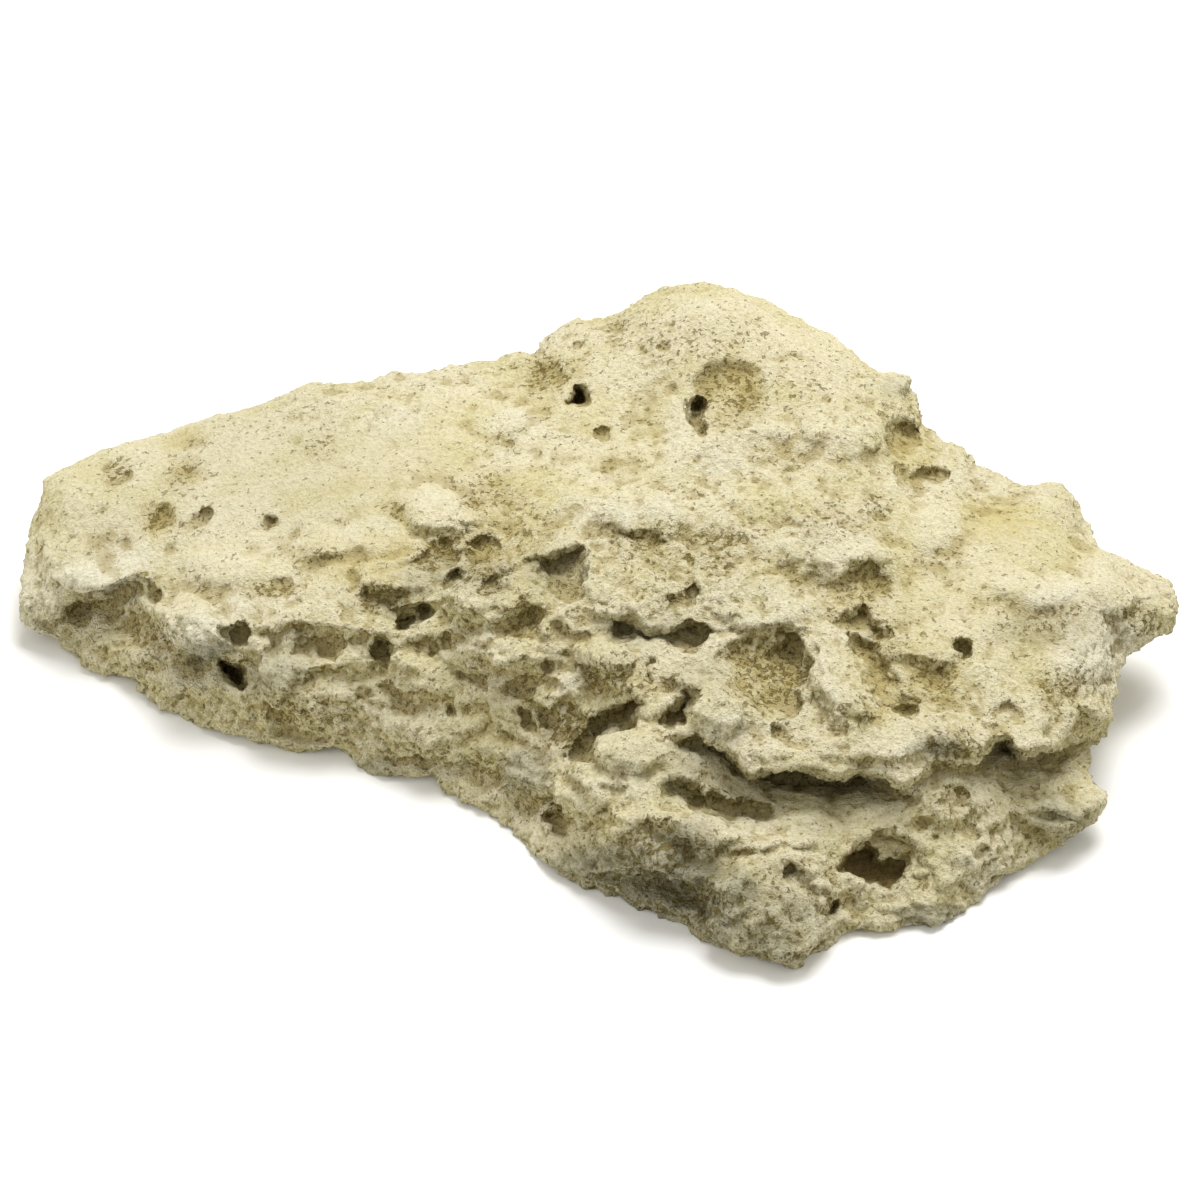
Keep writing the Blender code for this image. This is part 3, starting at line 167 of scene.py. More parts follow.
# Crests as (reach, height, points), and grooves as (half width, depth, points).
CRESTS = [
    (4, 3, [(72, -9), (74, -18), (79, -29), (88, -38)]),
    (4, 2.5, [(50, -51), (60, -50), (75, -51), (92, -51), (101, -54)]),
    (3, 2.5, [(68, 24), (76, 26), (88, 25), (95, 19), (98, 12)]),
    (3, 3, [(-128, -9), (-138, -4), (-146, -2)]),
    (4, 3, [(-116, -11), (-110, -6), (-100, -5), (-88, -7), (-80, -10), (-70, -8)]),
    (3, 4, [(-48, 0), (-47, 5), (-43, 8), (-37, 10), (-27, 15), (-18, 18), (-7, 19)]),
    (2.6, 4, [(-5, 18), (-5, 10), (-7, 3), (-14, -3), (-18, -9)]),
    (5, 3, [(-20, 14), (0, 32), (13, 41), (33, 54), (63, 58), (90, 58), (98, 49), (100, 38)]),
    (3, 4, [(40, -30), (46, -34), (51, -38)]),
    (4, 3, [(97, -38), (110, -39), (120, -37), (128, -43)]),
    (2, 1.5, [(-47, 68), (-35, 68), (-28, 63), (-30, 56)]),
    (4, 4, [(60, -85), (50, -88), (41, -97), (39, -108)]),
    (4, 4, [(63, -85), (72, -95), (71, -108), (68, -118)]),
    (5, 3, [(-10, -88), (5, -88), (22, -87), (30, -90), (42, -94)]),
]
GROOVES = [
    (0.8, 0.8, [(-99, 14), (-92, 14.5), (-84, 16)]),
    (1.2, 1.2, [(37, -10), (45, -9), (54, -9.5), (66, -8.5), (76, -9)]),
    (2.2, 6, [(33, -66), (40, -67.5), (48, -68.5), (57, -69)]),
    (1.8, 7, [(33, 67), (31.5, 62), (34, 58)]),
    (3.5, 2, [(62, -89), (68, -94), (72, -99), (76, -103)]),
    (2.5, 3, [(-30, -28), (-25, -27), (-18, -27)]),
]

# The slot that runs in under the lip: across, up and near of the points along its middle.
SLOT_RADIUS = 3.0
SLOT = [(51, -58, 45), (58, -59, 44), (70, -59.5, 42), (84, -60, 41), (95, -60.5, 42)]

# Hollows with a traced edge: depth, width of the wall, share of the depth at the shallow side, the
# direction in degrees of the deep side, points.
PITS = [
    # Top shelf, from the left end.
    (4.3, 1.5, 0.7, 90, [(-166, 46), (-164, 44.8), (-162.5, 48.5), (-164, 47.5)]),
    (3.8, 1.6, 0.6, 90, [
        (-165.5, 41), (-161, 42.5), (-156, 44.5), (-154.5, 42.5), (-158, 40.5), (-163, 39.5)]),
    (3.8, 1.2, 0.7, 90, [(-183.5, 34.5), (-181, 37.8), (-179.5, 37), (-182, 34)]),
    (3.2, 1.5, 0.6, 90, [(-180, 21), (-175, 23.5), (-173.5, 23), (-176, 20.5)]),
    (4.5, 3.2, 0.3, 60, [
        (-151.5, 26), (-150, 23.5), (-146, 22.8), (-142.5, 26), (-142, 30), (-144, 33), (-147, 32.5),
        (-149.5, 30)]),
    (3.2, 2.4, 0.6, 90, [
        (-143, 25), (-138, 22.8), (-132, 24.5), (-129.5, 28), (-131, 31), (-135, 30.5), (-138, 26.5)]),
    (6.0, 1.4, 0.6, 60, [
        (-135, 27.5), (-132.5, 28.6), (-131.2, 31), (-129.6, 30), (-129.6, 27.6), (-133, 25.8)]),
    (4.6, 1.8, 0.6, 90, [(-111.5, 29.5), (-108, 29), (-107, 26), (-109.5, 23.8), (-112, 26)]),
    (2.6, 2.0, 0.5, 90, [
        (-141, 44), (-138, 46.5), (-133, 45.5), (-131.5, 43), (-135, 41.5), (-139, 42.5)]),
    (1.9, 2.5, 0.5, 90, [(-142, 53), (-138, 57), (-131, 56), (-132, 52), (-138, 51)]),
    (2.3, 2.0, 0.5, 90, [(-169, 28.5), (-166, 31.5), (-162, 32), (-164, 29)]),
    (3.5, 3.5, 0.4, 90, [(-114.5, 4), (-110, 8.8), (-103, 9.5), (-99, 6), (-104, 2), (-110, 1.5)]),
    (3.2, 2.5, 0.5, 90, [(-84, 8), (-82, 12), (-79, 9), (-80, 4), (-83, 4)]),
    (2.6, 2.5, 0.5, 90, [(-70, 30), (-67, 32.5), (-63, 30), (-66, 27)]),
    (3.2, 2.2, 0.5, 90, [(-34, 52), (-31, 55.5), (-27, 54), (-29, 51)]),
    (17.4, 1.4, 0.9, 90, [
        (-11.5, 67), (-9.5, 70.5), (-6.5, 71.8), (-4.5, 70.4), (-2.8, 69), (-4.5, 66.3), (-8, 66.3)]),
    (4.6, 1.6, 0.5, 90, [(-4.5, 56), (0, 59.3), (3, 58.3), (2, 55.3), (-1, 55.8)]),
    (2.6, 2.4, 0.5, 90, [(-25, 72), (-22, 79), (-15, 81), (-10, 76), (-14, 70), (-20, 70.5)]),
    (2.5, 2.0, 0.5, 90, [(-11, 41), (-8, 44), (-5, 42.5), (-8, 39.5)]),
    (4.6, 1.0, 0.8, 90, [(-47.3, 27.3), (-45.8, 27), (-44.2, 24.3), (-45.6, 23.8)]),
    (6.5, 3.6, 0.3, 110, [
        (-45.5, 20.5), (-40, 22.5), (-35, 21.5), (-32, 18), (-35, 13), (-40, 11.5), (-44, 14.5)]),
    (6.0, 5.5, 0.1, 60, [(-63, 14), (-58, 21.5), (-51, 21.5), (-46.5, 17), (-48, 11.5), (-57, 11)]),
    (9.0, 1.6, 0.6, 90, [
        (-52.5, 5.5), (-51, 9.5), (-48.7, 12.6), (-45.8, 10.6), (-42, 9), (-46.6, 7.4), (-47.6, 4.2),
        (-49.5, 5)]),
    # The crater on the hump, with its slit and its two banks of dents.
    (4.6, 5.0, 0.25, 110, [
        (31, 75), (36, 79.5), (43, 82), (49.5, 81), (54.5, 76), (56, 70), (54, 63), (50, 59.5),
        (44, 56.5), (38, 57.5), (34, 57.5), (30.5, 62), (30.5, 68)]),
    (8.0, 1.3, 0.9, 90, [
        (30.2, 65.5), (32, 67.8), (34.5, 67), (32.6, 64), (33, 60), (35.2, 58), (33, 56.2), (30.6, 59)]),
    (3.0, 2.4, 0.5, 90, [(33, 74), (37, 79), (43, 80), (49, 80), (48, 76), (42, 75.5), (37, 73)]),
    (2.9, 1.6, 0.5, 90, [(35, 68), (40, 70.5), (47, 70.5), (47, 67.5), (40, 67.3)]),
    (2.6, 1.4, 0.6, 90, [(73, 67.5), (75, 71), (76.3, 70), (75.5, 66)]),
    (2.6, 1.4, 0.6, 90, [(20.5, 70.8), (23.5, 73.5), (25, 72.5), (22.5, 70)]),
    # Behind on the right.
    (8.0, 2.6, 0.6, 90, [
        (96, 58), (99.5, 62), (102.5, 59.5), (106, 59), (106.5, 54), (103.5, 50), (99, 49.5),
        (96.5, 52)]),
    (7.5, 2.6, 0.6, 90, [
        (100, 47.5), (104, 43.5), (106, 46), (110, 45), (115.5, 45.5), (116.5, 42.8), (112, 40.5),
        (108.5, 40), (108.5, 36), (106, 34.5), (102, 38.5), (99.5, 43)]),
    (2.9, 2.0, 0.5, 90, [(90, 27), (92, 31.5), (95.5, 30), (95, 26.5)]),
    (1.0, 4.5, 0.5, 80, [
        (120, 27), (127, 34), (137, 36), (145.5, 32.5), (147.5, 26), (143.5, 20.5), (134, 19),
        (125, 22.5)]),
    (2.6, 3.0, 0.5, 90, [(147, 40), (153, 41), (158, 35), (156, 29), (150, 30), (147, 35)]),
    # The alcove under the knob, and the dents on the knob.
    (11.0, 2.8, 0.25, 62, [
        (-29, 7), (-24, 11.6), (-19, 15), (-12, 17.6), (-8, 18.6), (-4.6, 19), (-4.6, 12), (-5.4, 3),
        (-9, 1.5), (-15, 3), (-22, 5)]),
    (2.6, 2.6, 0.4, 90, [(-36, 3), (-32, 6), (-27, 6.5), (-27, 3.5), (-33, 1.5)]),
    (1.6, 4.6, 0.2, 70, [
        (3, 22), (8.5, 26.5), (15, 25.5), (24.5, 20), (22.5, 14.5), (14, 14.5), (7, 18)]),
    (1.6, 4.4, 0.2, 80, [(30, 22), (37, 26), (45, 24), (46, 18), (42, 12), (35, 11.5), (31, 17)]),
    (5.0, 1.4, 0.5, 60, [
        (20.4, 0.4), (22, 3), (26, 2.2), (29, 3.6), (32, 6.6), (34, 4), (29, 0.6), (27.6, -3.2),
        (25.2, -4.6), (22.6, -2)]),
    (14.0, 2.4, 0.4, 75, [
        (2, -9), (5, -5.2), (9, -4.6), (12, -6.6), (15, -7.8), (20, -9.7), (25, -9.6), (28, -5.8),
        (33, -6.8), (38.3, -10), (34, -12), (31, -15.3), (26, -15.3), (20, -13.3), (15, -13.6),
        (11, -11.4), (6, -12.3)]),
    (4.0, 1.6, 0.6, 90, [(11, -9), (14, -10), (19, -12), (18, -13.2), (12, -12.2)]),
    (12.5, 7.0, 0.2, 34, [
        (52, -11), (58, -10), (64, -9.6), (69, -14), (71, -19), (70, -26), (67.5, -31), (66.5, -38),
        (60, -39), (51, -38), (46, -35), (40.5, -31), (39.5, -24), (37.5, -17), (43, -11)]),
    (6.5, 3.0, 0.3, 45, [(57.5, -11), (63, -10.8), (68.5, -14.5), (70, -19.5), (66, -18.5), (60, -15)]),
    (5.5, 1.4, 0.6, 90, [
        (14.2, -25.4), (15.4, -20.6), (17.6, -17.4), (19.2, -19), (17.6, -22.4), (18.4, -25.6),
        (16.4, -26.6)]),
    (15.0, 1.4, 0.6, 70, [
        (19, -38.6), (21.4, -34.4), (26.2, -33), (28.2, -29.4), (31.8, -30.4), (30.4, -34.6), (31, -39.6),
        (25, -41), (22.6, -42)]),
    (16.0, 1.6, 0.4, 60, [
        (-7.6, -46), (-3.4, -40.4), (1.2, -36), (7.6, -33.4), (12, -29.8), (15.4, -32.4), (13.2, -38),
        (12.2, -43.2), (5.4, -42), (1.2, -43.2), (-0.6, -46), (0.2, -50), (0.8, -53.2), (-6, -53.6),
        (-11, -50.4)]),
    (5.0, 4.6, 0.2, 70, [(-20.5, -36), (-14, -35), (-9.5, -41), (-10.5, -48), (-17, -46), (-21, -41)]),
    (5.0, 1.6, 0.7, 60, [(-28, -35.5), (-25, -35), (-21.4, -40), (-20, -44), (-23.6, -42)]),
    (4.6, 2.0, 0.5, 90, [
        (-48, -21), (-44, -23.6), (-39, -22.8), (-34.6, -22.8), (-36, -25), (-38, -28.5), (-42, -27),
        (-47, -25)]),
    (4.6, 3.4, 0.3, 90, [
        (-31.5, -9), (-30, -3), (-24, -1), (-18, -3), (-19, -8), (-22, -11.5), (-28, -11.3)]),
    (4.2, 1.4, 0.7, 90, [(-31.5, -9), (-27, -7.6), (-22.3, -9.3), (-21.6, -11.2), (-28, -11.2)]),
    (5.2, 1.4, 0.8, 90, [(-59, -16.5), (-53.5, -13.6), (-50, -12.6), (-50.6, -15), (-56, -17.3)]),
    (4.9, 1.4, 0.8, 90, [(-29, -29.5), (-27, -27), (-25, -28.5), (-22, -29), (-27, -31)]),
    # The crevice right of the bowl, with its dark top.
    (2.4, 4.4, 0.2, 60, [
        (79, 5), (82, 13), (90, 13.5), (97.5, 8), (98.5, 3), (92, 0), (84, -1), (79.5, 1)]),
    (10.0, 3.0, 0.3, 60, [
        (76, -5), (80, -1.5), (88, 0), (91, -5), (97.5, -11), (94, -13.5), (86, -12), (82, -9),
        (78, -8.6)]),
    (9.5, 5.0, 0.3, 200, [
        (82, -9), (92, -10), (97, -16), (99, -24), (106, -31), (105, -38.3), (96, -36.5), (90, -30),
        (85, -22), (82, -15)]),
    (10.0, 1.4, 0.6, 90, [(95.3, -34), (99, -33.5), (103, -34), (106.6, -31.5), (105.3, -38), (97, -37)]),
    (2.4, 5.0, 0.3, 90, [
        (99, -24), (106, -21), (113, -21), (118, -24), (117, -29), (108, -31), (101, -29)]),
    (3.2, 2.4, 0.5, 90, [(121.5, -36), (124, -33.5), (128, -36), (126, -39)]),
    (3.8, 3.0, 0.5, 90, [(131, -35), (136, -32.5), (141, -35), (140.5, -41), (136, -38.5)]),
    (2.0, 4.0, 0.3, 90, [(149, -31), (154, -27.5), (161, -29), (160, -35.5), (153, -36)]),
    (1.4, 2.0, 0.5, 90, [(78, -35), (81, -32.5), (89, -37), (87, -41), (81, -39.5)]),
    (3.8, 2.0, 0.5, 90, [(56, -42), (59, -39.6), (62.5, -42.5), (61.5, -46.3), (58, -45.5)]),
    (3.2, 3.0, 0.5, 90, [(166, -3), (172, -1), (175, -6), (170, -10), (166, -7)]),
    (2.9, 2.4, 0.5, 90, [(168, -12), (174, -12.5), (177, -16), (172, -17)]),
    # The front face on the left, under its brow.
    (8.0, 4.0, 0.1, 80, [
        (-178, -2), (-175, 3), (-168, 4.4), (-162, 4), (-157, 8), (-153, 6), (-155, 0), (-160, -5),
        (-168, -9), (-176, -6)]),
    (4.8, 1.4, 0.5, 90, [(-151, 2.5), (-148, 4.6), (-146.6, 4), (-147.5, 0), (-149.5, 0)]),
    (24.0, 1.4, 0.9, 90, [
        (-127, -19.5), (-124, -19), (-119.4, -20.8), (-117.4, -24), (-118, -27.4), (-121.5, -28.2),
        (-125.2, -24.6)]),
    (9.0, 2.0, 0.6, 90, [(-128, -9.4), (-120, -6.8), (-115.6, -10), (-118, -13.4), (-123, -14.6)]),
    (4.0, 3.2, 0.4, 70, [
        (-134, -18.5), (-124, -18), (-117, -20), (-113, -25), (-115, -33), (-121, -31), (-128, -26),
        (-134, -23)]),
    (11.0, 4.2, 0.35, 35, [
        (-104, -11), (-101, -7.6), (-96, -7), (-89, -9.4), (-84.6, -11), (-85.6, -15.6), (-89, -18.6),
        (-96, -20), (-103, -17)]),
    (8.5, 1.8, 0.6, 90, [
        (-76.6, -16), (-74, -12.2), (-70, -12.2), (-67.6, -15), (-70.6, -19.5), (-74, -19.5)]),
    (13.0, 1.6, 0.7, 90, [
        (-69, -9.5), (-67.4, -3.8), (-61.5, -2.8), (-57.6, -1), (-56, -3.8), (-60.6, -5), (-63.6, -8.2)]),
    (5.0, 3.4, 0.2, 90, [(-81, 3), (-77, 6.6), (-70, 6), (-65, 1.5), (-69, -2), (-78, -1)]),
    (2.2, 2.6, 0.4, 90, [(-82, -28.5), (-76, -26.5), (-73.5, -30), (-78, -34.5), (-83, -31.5)]),
    (3.8, 1.6, 0.6, 90, [(-101, -34), (-97, -34), (-95.5, -37.5), (-99, -38.5)]),
    (2.6, 4.0, 0.2, 90, [(-110, -36), (-100, -37), (-91, -41), (-89, -48), (-98, -50), (-110, -46)]),
    (3.2, 1.6, 0.6, 90, [(-95.5, -45), (-92, -45), (-90, -47.5), (-93.5, -47)]),
    (3.8, 2.0, 0.6, 90, [(-52, -33.5), (-49, -33.5), (-47.5, -38), (-51, -38.5)]),
    (3.8, 2.0, 0.6, 90, [(-171, -15.5), (-168.5, -15.2), (-166, -18), (-168, -20), (-171, -18)]),
    # The lower ledge.
    (6.5, 2.6, 0.5, 90, [
        (23.5, -47.4), (27, -45.2), (31, -44.6), (38, -45.6), (44, -50.6), (50.6, -57.6), (46, -57),
        (40, -52.6), (32, -49.7), (27, -49.2)]),
    (6.0, 3.4, 0.2, 60, [
        (50, -58), (57, -56.4), (70, -56.4), (76, -58), (95, -58), (100, -62), (107, -61), (106, -66.5),
        (96, -67), (84, -68), (70, -65), (60, -66.5), (50, -64)]),
    (10.9, 2.2, 0.5, 70, [
        (18.6, -63), (22, -58.2), (28, -57.3), (33, -61), (34.6, -66.5), (28, -66.5), (22, -65.4)]),
    (6.4, 1.2, 0.8, 90, [
        (34, -66.8), (38, -64.8), (44, -66.6), (50, -67), (57, -69), (48, -69), (38, -68.4)]),
    (10.2, 2.6, 0.5, 90, [
        (-19.6, -71.5), (-13, -67.6), (-9, -68.6), (-6.6, -72), (-8.8, -77.4), (-12, -79.6), (-16, -76)]),
    (5.2, 1.3, 0.8, 90, [(-6, -74), (-3, -71.8), (-0.6, -75), (-4, -75.4)]),
    (3.6, 2.0, 0.6, 90, [(-3, -77), (2, -76), (3, -79), (-2, -80)]),
    (20.3, 1.4, 0.9, 90, [
        (78.6, -88.3), (82, -84), (84, -80.8), (90, -81.8), (92, -84.6), (97, -85.8), (102.4, -88),
        (102.2, -91), (99.4, -93), (97, -95.6), (94, -94.3), (91, -92.4), (85, -91.3), (82, -89.3)]),
    (8.0, 3.0, 0.8, 90, [
        (83, -82.5), (86, -78), (91, -75.4), (97, -74.6), (102, -76.5), (105, -81), (104, -88.5),
        (100, -90), (93, -86.5), (86, -84)]),
    (10.2, 1.6, 0.8, 90, [(73.6, -104), (76, -99.8), (78.6, -98.2), (79.2, -102), (77, -104.4)]),
    (3.4, 3.6, 0.4, 60, [
        (60, -89), (64, -86.6), (70, -89.6), (75, -95), (78, -99), (74, -105.5), (70, -101), (67, -95),
        (62, -91.5)]),
    (5.5, 1.3, 0.8, 90, [(60.4, -88.6), (62.5, -86.2), (65.4, -87.6), (64.4, -90.4), (61.8, -91.4)]),
    (4.3, 2.6, 0.5, 90, [(111.5, -66), (118, -59.5), (122.6, -62), (121, -68.5), (118, -72), (114, -70)]),
    (2.9, 2.6, 0.5, 90, [(124, -84), (127, -80), (130, -83), (128, -89), (125, -88)]),
    (8.5, 4.5, 0.5, 75, [
        (0, -91.5), (10, -90), (20, -89), (26, -88.8), (29.6, -92.6), (33, -93.4), (38, -95.6), (44, -99),
        (42, -104), (38, -108), (33, -108), (29, -104.6), (20, -100.6), (10, -97.6), (3, -95)]),
    (3.8, 2.6, 0.4, 90, [(-9, -86), (-3, -84.5), (2, -87), (0, -91), (-7, -91)]),
    (2.4, 2.4, 0.5, 90, [(128, -47.6), (132, -45.2), (138.6, -46.8), (137, -50), (131, -51)]),
    (4.3, 3.0, 0.4, 90, [(142, -66), (150, -68.5), (158, -70), (156, -73.5), (148, -73), (142, -70)]),
    (4.3, 2.0, 0.4, 90, [
        (96, -103), (104, -100.8), (112, -100), (118, -99), (120, -106), (112, -110), (98, -110)]),
]

# Brows, under which the skin steps back: height, reach above and below, points from left to right.
BROWS = [
    (8.4, 9, 9, [(-193, -4), (-184, -5), (-178, -3), (-171, 3.4), (-163, 4.6), (-156, 8), (-149, 6)]),
    (7.0, 8, 7, [(-149, 1), (-145, -7), (-141, -14), (-136, -18.4), (-130, -18.6), (-124, -17)]),
    (4.2, 6, 4, [(-124, -8), (-118, -9.6), (-113, -9)]),
    (3.5, 8, 6, [(-117, -8), (-108, -9), (-100, -6.6), (-92, -7), (-85, -10)]),
    (4.2, 5, 6, [(-84, -9), (-77, -11), (-70, -10.5)]),
    (4.5, 8, 5, [(-80, 0), (-72, -2.4), (-66, -2.6), (-58, 0), (-50, 0)]),
    (4.2, 7, 6, [(-80, 12), (-70, 13), (-62, 15), (-56, 17)]),
    (3.6, 5, 6, [(-104, -21), (-95, -22.5), (-86, -21), (-78, -21), (-68, -20), (-58, -22)]),
    (4.2, 6, 9, [
        (-112, -36), (-102, -37.5), (-92, -41), (-86, -47.5), (-78, -50), (-66, -50.4), (-52, -50.8),
        (-38, -51.6), (-26, -51)]),
    (3.9, 6, 6, [(-64, -12), (-57, -11), (-50, -10.4), (-42, -12), (-34, -11.6)]),
    (4.2, 6, 5, [(-50, -17), (-46, -20), (-40, -20), (-34, -21), (-27, -20), (-20, -18)]),
    (4.2, 5, 6, [(-50, 3), (-44, 7.4), (-37, 8.4), (-30, 12), (-24, 15), (-15, 17), (-6, 20)]),
    (3.6, 6, 5, [(-48, -3), (-43, -3.5), (-36, -1.5), (-28, 3), (-21, 4)]),
    (3.4, 5, 5, [(-17, -3), (-12, -8), (-6, -10.4), (0, -9)]),
    (3.4, 7, 6, [(-30, -33), (-22, -34), (-14, -34.5), (-8, -36), (-3, -38)]),
    (2.0, 6, 6, [(-46, -40), (-38, -42), (-28, -44), (-18, -49), (-10, -51)]),
    (3.6, 6, 6, [(-9, -13), (-4, -19), (2, -25), (8, -28), (13, -29)]),
    (3.2, 8, 5, [(0, -3.5), (5, -4.6), (10, -4.2), (16, -7), (21, -9), (26, -8.4)]),
    (1.2, 7, 4, [(27, -3), (33, -6), (39, -9), (48, -7.8), (57, -7.4), (66, -8), (76, -9)]),
    (4.2, 8, 6, [(60, 28), (68, 25.5), (75, 26.6), (82, 27.5), (90, 27)]),
    (1.2, 8, 8, [(70, 13), (80, 14.5), (90, 13), (98, 9)]),
    (0.6, 9, 9, [(122, -2), (130, -2), (137, -0.5), (145, -1), (153, -2), (160, -3)]),
    (1.0, 7, 7, [(100, 13), (112, 13.5), (125, 13.5), (138, 13)]),
    (3.4, 6, 6, [(104, -38), (112, -37.5), (119, -35.6), (127, -39), (133, -41)]),
    (3.1, 6, 6, [(20, -24), (28, -27), (36, -28), (41, -31)]),
    (2.8, 5, 5, [(-20, -64.5), (-12, -66), (-5, -68), (2, -70)]),
    (8.0, 8, 10, [(-12, -87), (-2, -89.4), (9, -89.8), (20, -88.6), (28, -91.6), (36, -94), (44, -98)]),
    (4.2, 6, 6, [(6, -79), (12, -73), (22, -72), (30, -78), (34, -86)]),
    (4.5, 5, 7, [(42, -83), (50, -81.4), (58, -79.8), (66, -80), (74, -79)]),
    (3.4, 7, 6, [(-20, -56), (-12, -57), (-4, -60), (4, -61), (12, -60)]),
    (4.2, 5, 6, [(96, -104), (104, -100.6), (112, -99.6), (120, -97)]),
    (3.4, 7, 6, [(134, -70), (142, -69), (150, -69), (158, -70.5), (164, -70)]),
    (3.1, 6, 6, [(100, -73), (110, -72), (120, -73), (128, -76)]),
]

# Bored holes: across, up, radius, depth.
BORES = [
    (-164.5, 46, 1.2, 2), (-184.8, 10.6, 1.0, 3), (-187, 19.5, 0.8, 2), (-158, 19.8, 1.3, 1.8),
    (-143, 18.5, 1.4, 1.6), (-113.8, 25, 0.8, 4), (-101, 23.6, 1.0, 2), (-99.6, 19, 0.9, 1.6),
    (-90.6, 63.5, 0.9, 1.8), (-142, 53, 0.8, 1.6), (-64.5, 44.5, 1.0, 1.6), (-13.5, 42.2, 1.0, 3),
    (-2.3, 45, 1.2, 3), (-9.5, 41, 1.0, 2), (45.7, 59.3, 0.9, 4), (49, 59, 0.9, 4), (50, 17.6, 0.9, 2.5),
    (-40.5, 8.6, 0.9, 3), (-36, 7, 0.9, 3), (-28, 79, 1.3, 2), (-17, -20.6, 2.1, 3.2), (-12, -16, 1.0, 4),
    (-11.4, -21.4, 1.0, 4), (26, -12, 1.0, 3), (111.6, -77.4, 1.3, 3.5), (-172, -8, 1.0, 2.5),
    (-168, -8.5, 1.1, 2.5), (-164.2, -10.6, 1.1, 2.5), (-157, 8, 1.4, 2), (-150, 30, 0.8, 1.5),
    (-127, -33, 1.1, 2.5), (-123, -40.3, 1.2, 3), (-130, -36, 0.9, 2), (-119, -45, 1.0, 2),
    (-108.5, -46, 1.0, 3), (-150, -21, 1.0, 2.5), (-144, -19, 0.9, 2), (-141, -32, 1.4, 2),
    (-70, -49, 1.4, 3), (-45, -60.5, 1.3, 3), (-43, -62, 1.0, 3), (106.5, -90.6, 1.1, 3),
    (96, -5, 1.0, 2), (127, 5.6, 1.0, 1.4), (160, 19, 1.3, 1.8), (177.6, 1.6, 1.2, 2),
    (163, 10.6, 1.3, 1.6), (2, 80, 1.1, 2), (-8, 87.4, 1.2, 2), (14, 85, 1.5, 2), (20.5, 86, 1.2, 2.5),
    (90, 67.6, 1.1, 2.5), (92.5, 67, 1.0, 2.5), (86.5, 76, 1.3, 2), (100, 60, 1.2, 3), (62, 45, 0.9, 1.8),
    (46, -10, 1.2, 3), (43.5, -9, 1.0, 3), (71, -28.5, 1.0, 1.5), (52, -21.5, 1.2, 1.5),
    (120.8, -15.2, 2.4, 9), (12, 37, 1.0, 1.2), (38, 37.5, 1.5, 2), (51, 42, 1.2, 1.6),
    (33, 48.6, 1.5, 1.4), (-60, 5, 1.2, 2),
]


def near_for_height(across, up, height):
    """near = (height - aim height - up cos t) / (sin t - up cos t / distance), t the sight tilt."""
    rise = height - AIM[2]
    drawn_in = math.sin(SIGHT_TILT) - up * math.cos(SIGHT_TILT) / SIGHT_DISTANCE
    return (rise - up * math.cos(SIGHT_TILT)) / drawn_in


def from_sight(across, up, near):
    """The aim point, plus across and up drawn in by 1 - near / distance, plus near along the sight line."""
    spread = 1 - near / SIGHT_DISTANCE
    x = AIM[0] + across * spread
    y = AIM[1] + up * spread * math.sin(SIGHT_TILT) - near * math.cos(SIGHT_TILT)
    z = AIM[2] + up * spread * math.cos(SIGHT_TILT) + near * math.sin(SIGHT_TILT)
    return np.stack([x, y, z], axis=-1)


def to_sight(points):
    """The inverse of from_sight: across, up and near of each point."""
    x, y, z = (points - AIM).T
    near = z * math.sin(SIGHT_TILT) - y * math.cos(SIGHT_TILT)
    spread = 1 - near / SIGHT_DISTANCE
    up = (y * math.sin(SIGHT_TILT) + z * math.cos(SIGHT_TILT)) / spread
    return x / spread, up, near


def plate(knots, values, give=2.0):
    """Thin plate spline: a plane plus a weight times r squared log r squared for each knot."""
    knots = np.asarray(knots, float)
    count = len(knots)

    def bend(squared):
        return squared * np.log(squared + 1e-9)

    apart = ((knots[:, None] - knots[None]) ** 2).sum(-1)
    flat = np.column_stack([np.ones(count), knots])
    system = np.zeros((count + 3, count + 3))
    system[:count, :count] = bend(apart) + give * np.eye(count)
    system[:count, count:] = flat
    system[count:, :count] = flat.T
    weights = np.linalg.solve(system, np.append(values, np.zeros(3)))

    def height(across, up):
        total = weights[count] + weights[count + 1] * across + weights[count + 2] * up
        for knot, weight in zip(knots, weights[:count]):
            total = total + weight * bend((across - knot[0]) ** 2 + (up - knot[1]) ** 2)
        return total

    return height


def bed(spots):
    """A plate through the outline and the given spots, each lowered by the edge's bulge."""
    rim = np.array(OUTLINE, float)
    inner = np.array(spots, float)
    knots = np.vstack([rim[:, :2], inner[:, :2]])
    near = near_for_height(knots[:, 0], knots[:, 1], np.append(rim[:, 2], inner[:, 2]))
    near[len(rim):] -= EDGE_BULGE
    return plate(knots, near)


def hidden_bed():
    """A plate through the outline and the hidden spots, for the back and the sole."""
    rim = np.array(OUTLINE, float)
    across, up, near = to_sight(np.array(HIDDEN, float))
    knots = np.vstack([rim[:, :2], np.column_stack([across, up])])
    rim_near = near_for_height(rim[:, 0], rim[:, 1], rim[:, 2])
    return plate(knots, np.append(rim_near, near + EDGE_BULGE))


def smooth_step(value):
    """3 v squared - 2 v cubed, for v held between 0 and 1."""
    value = np.clip(value, 0, 1)
    return value * value * (3 - 2 * value)


def inside(across, up, place):
    """Squared distance in a turned ellipse, 1 on its edge, and how far over its middle line."""
    turn = math.radians(place[4])
    right = across - place[0]
    above = up - place[1]
    along = (right * math.cos(turn) + above * math.sin(turn)) / place[2]
    over = (above * math.cos(turn) - right * math.sin(turn)) / place[3]
    return along ** 2 + over ** 2, np.clip(over, -1, 1)


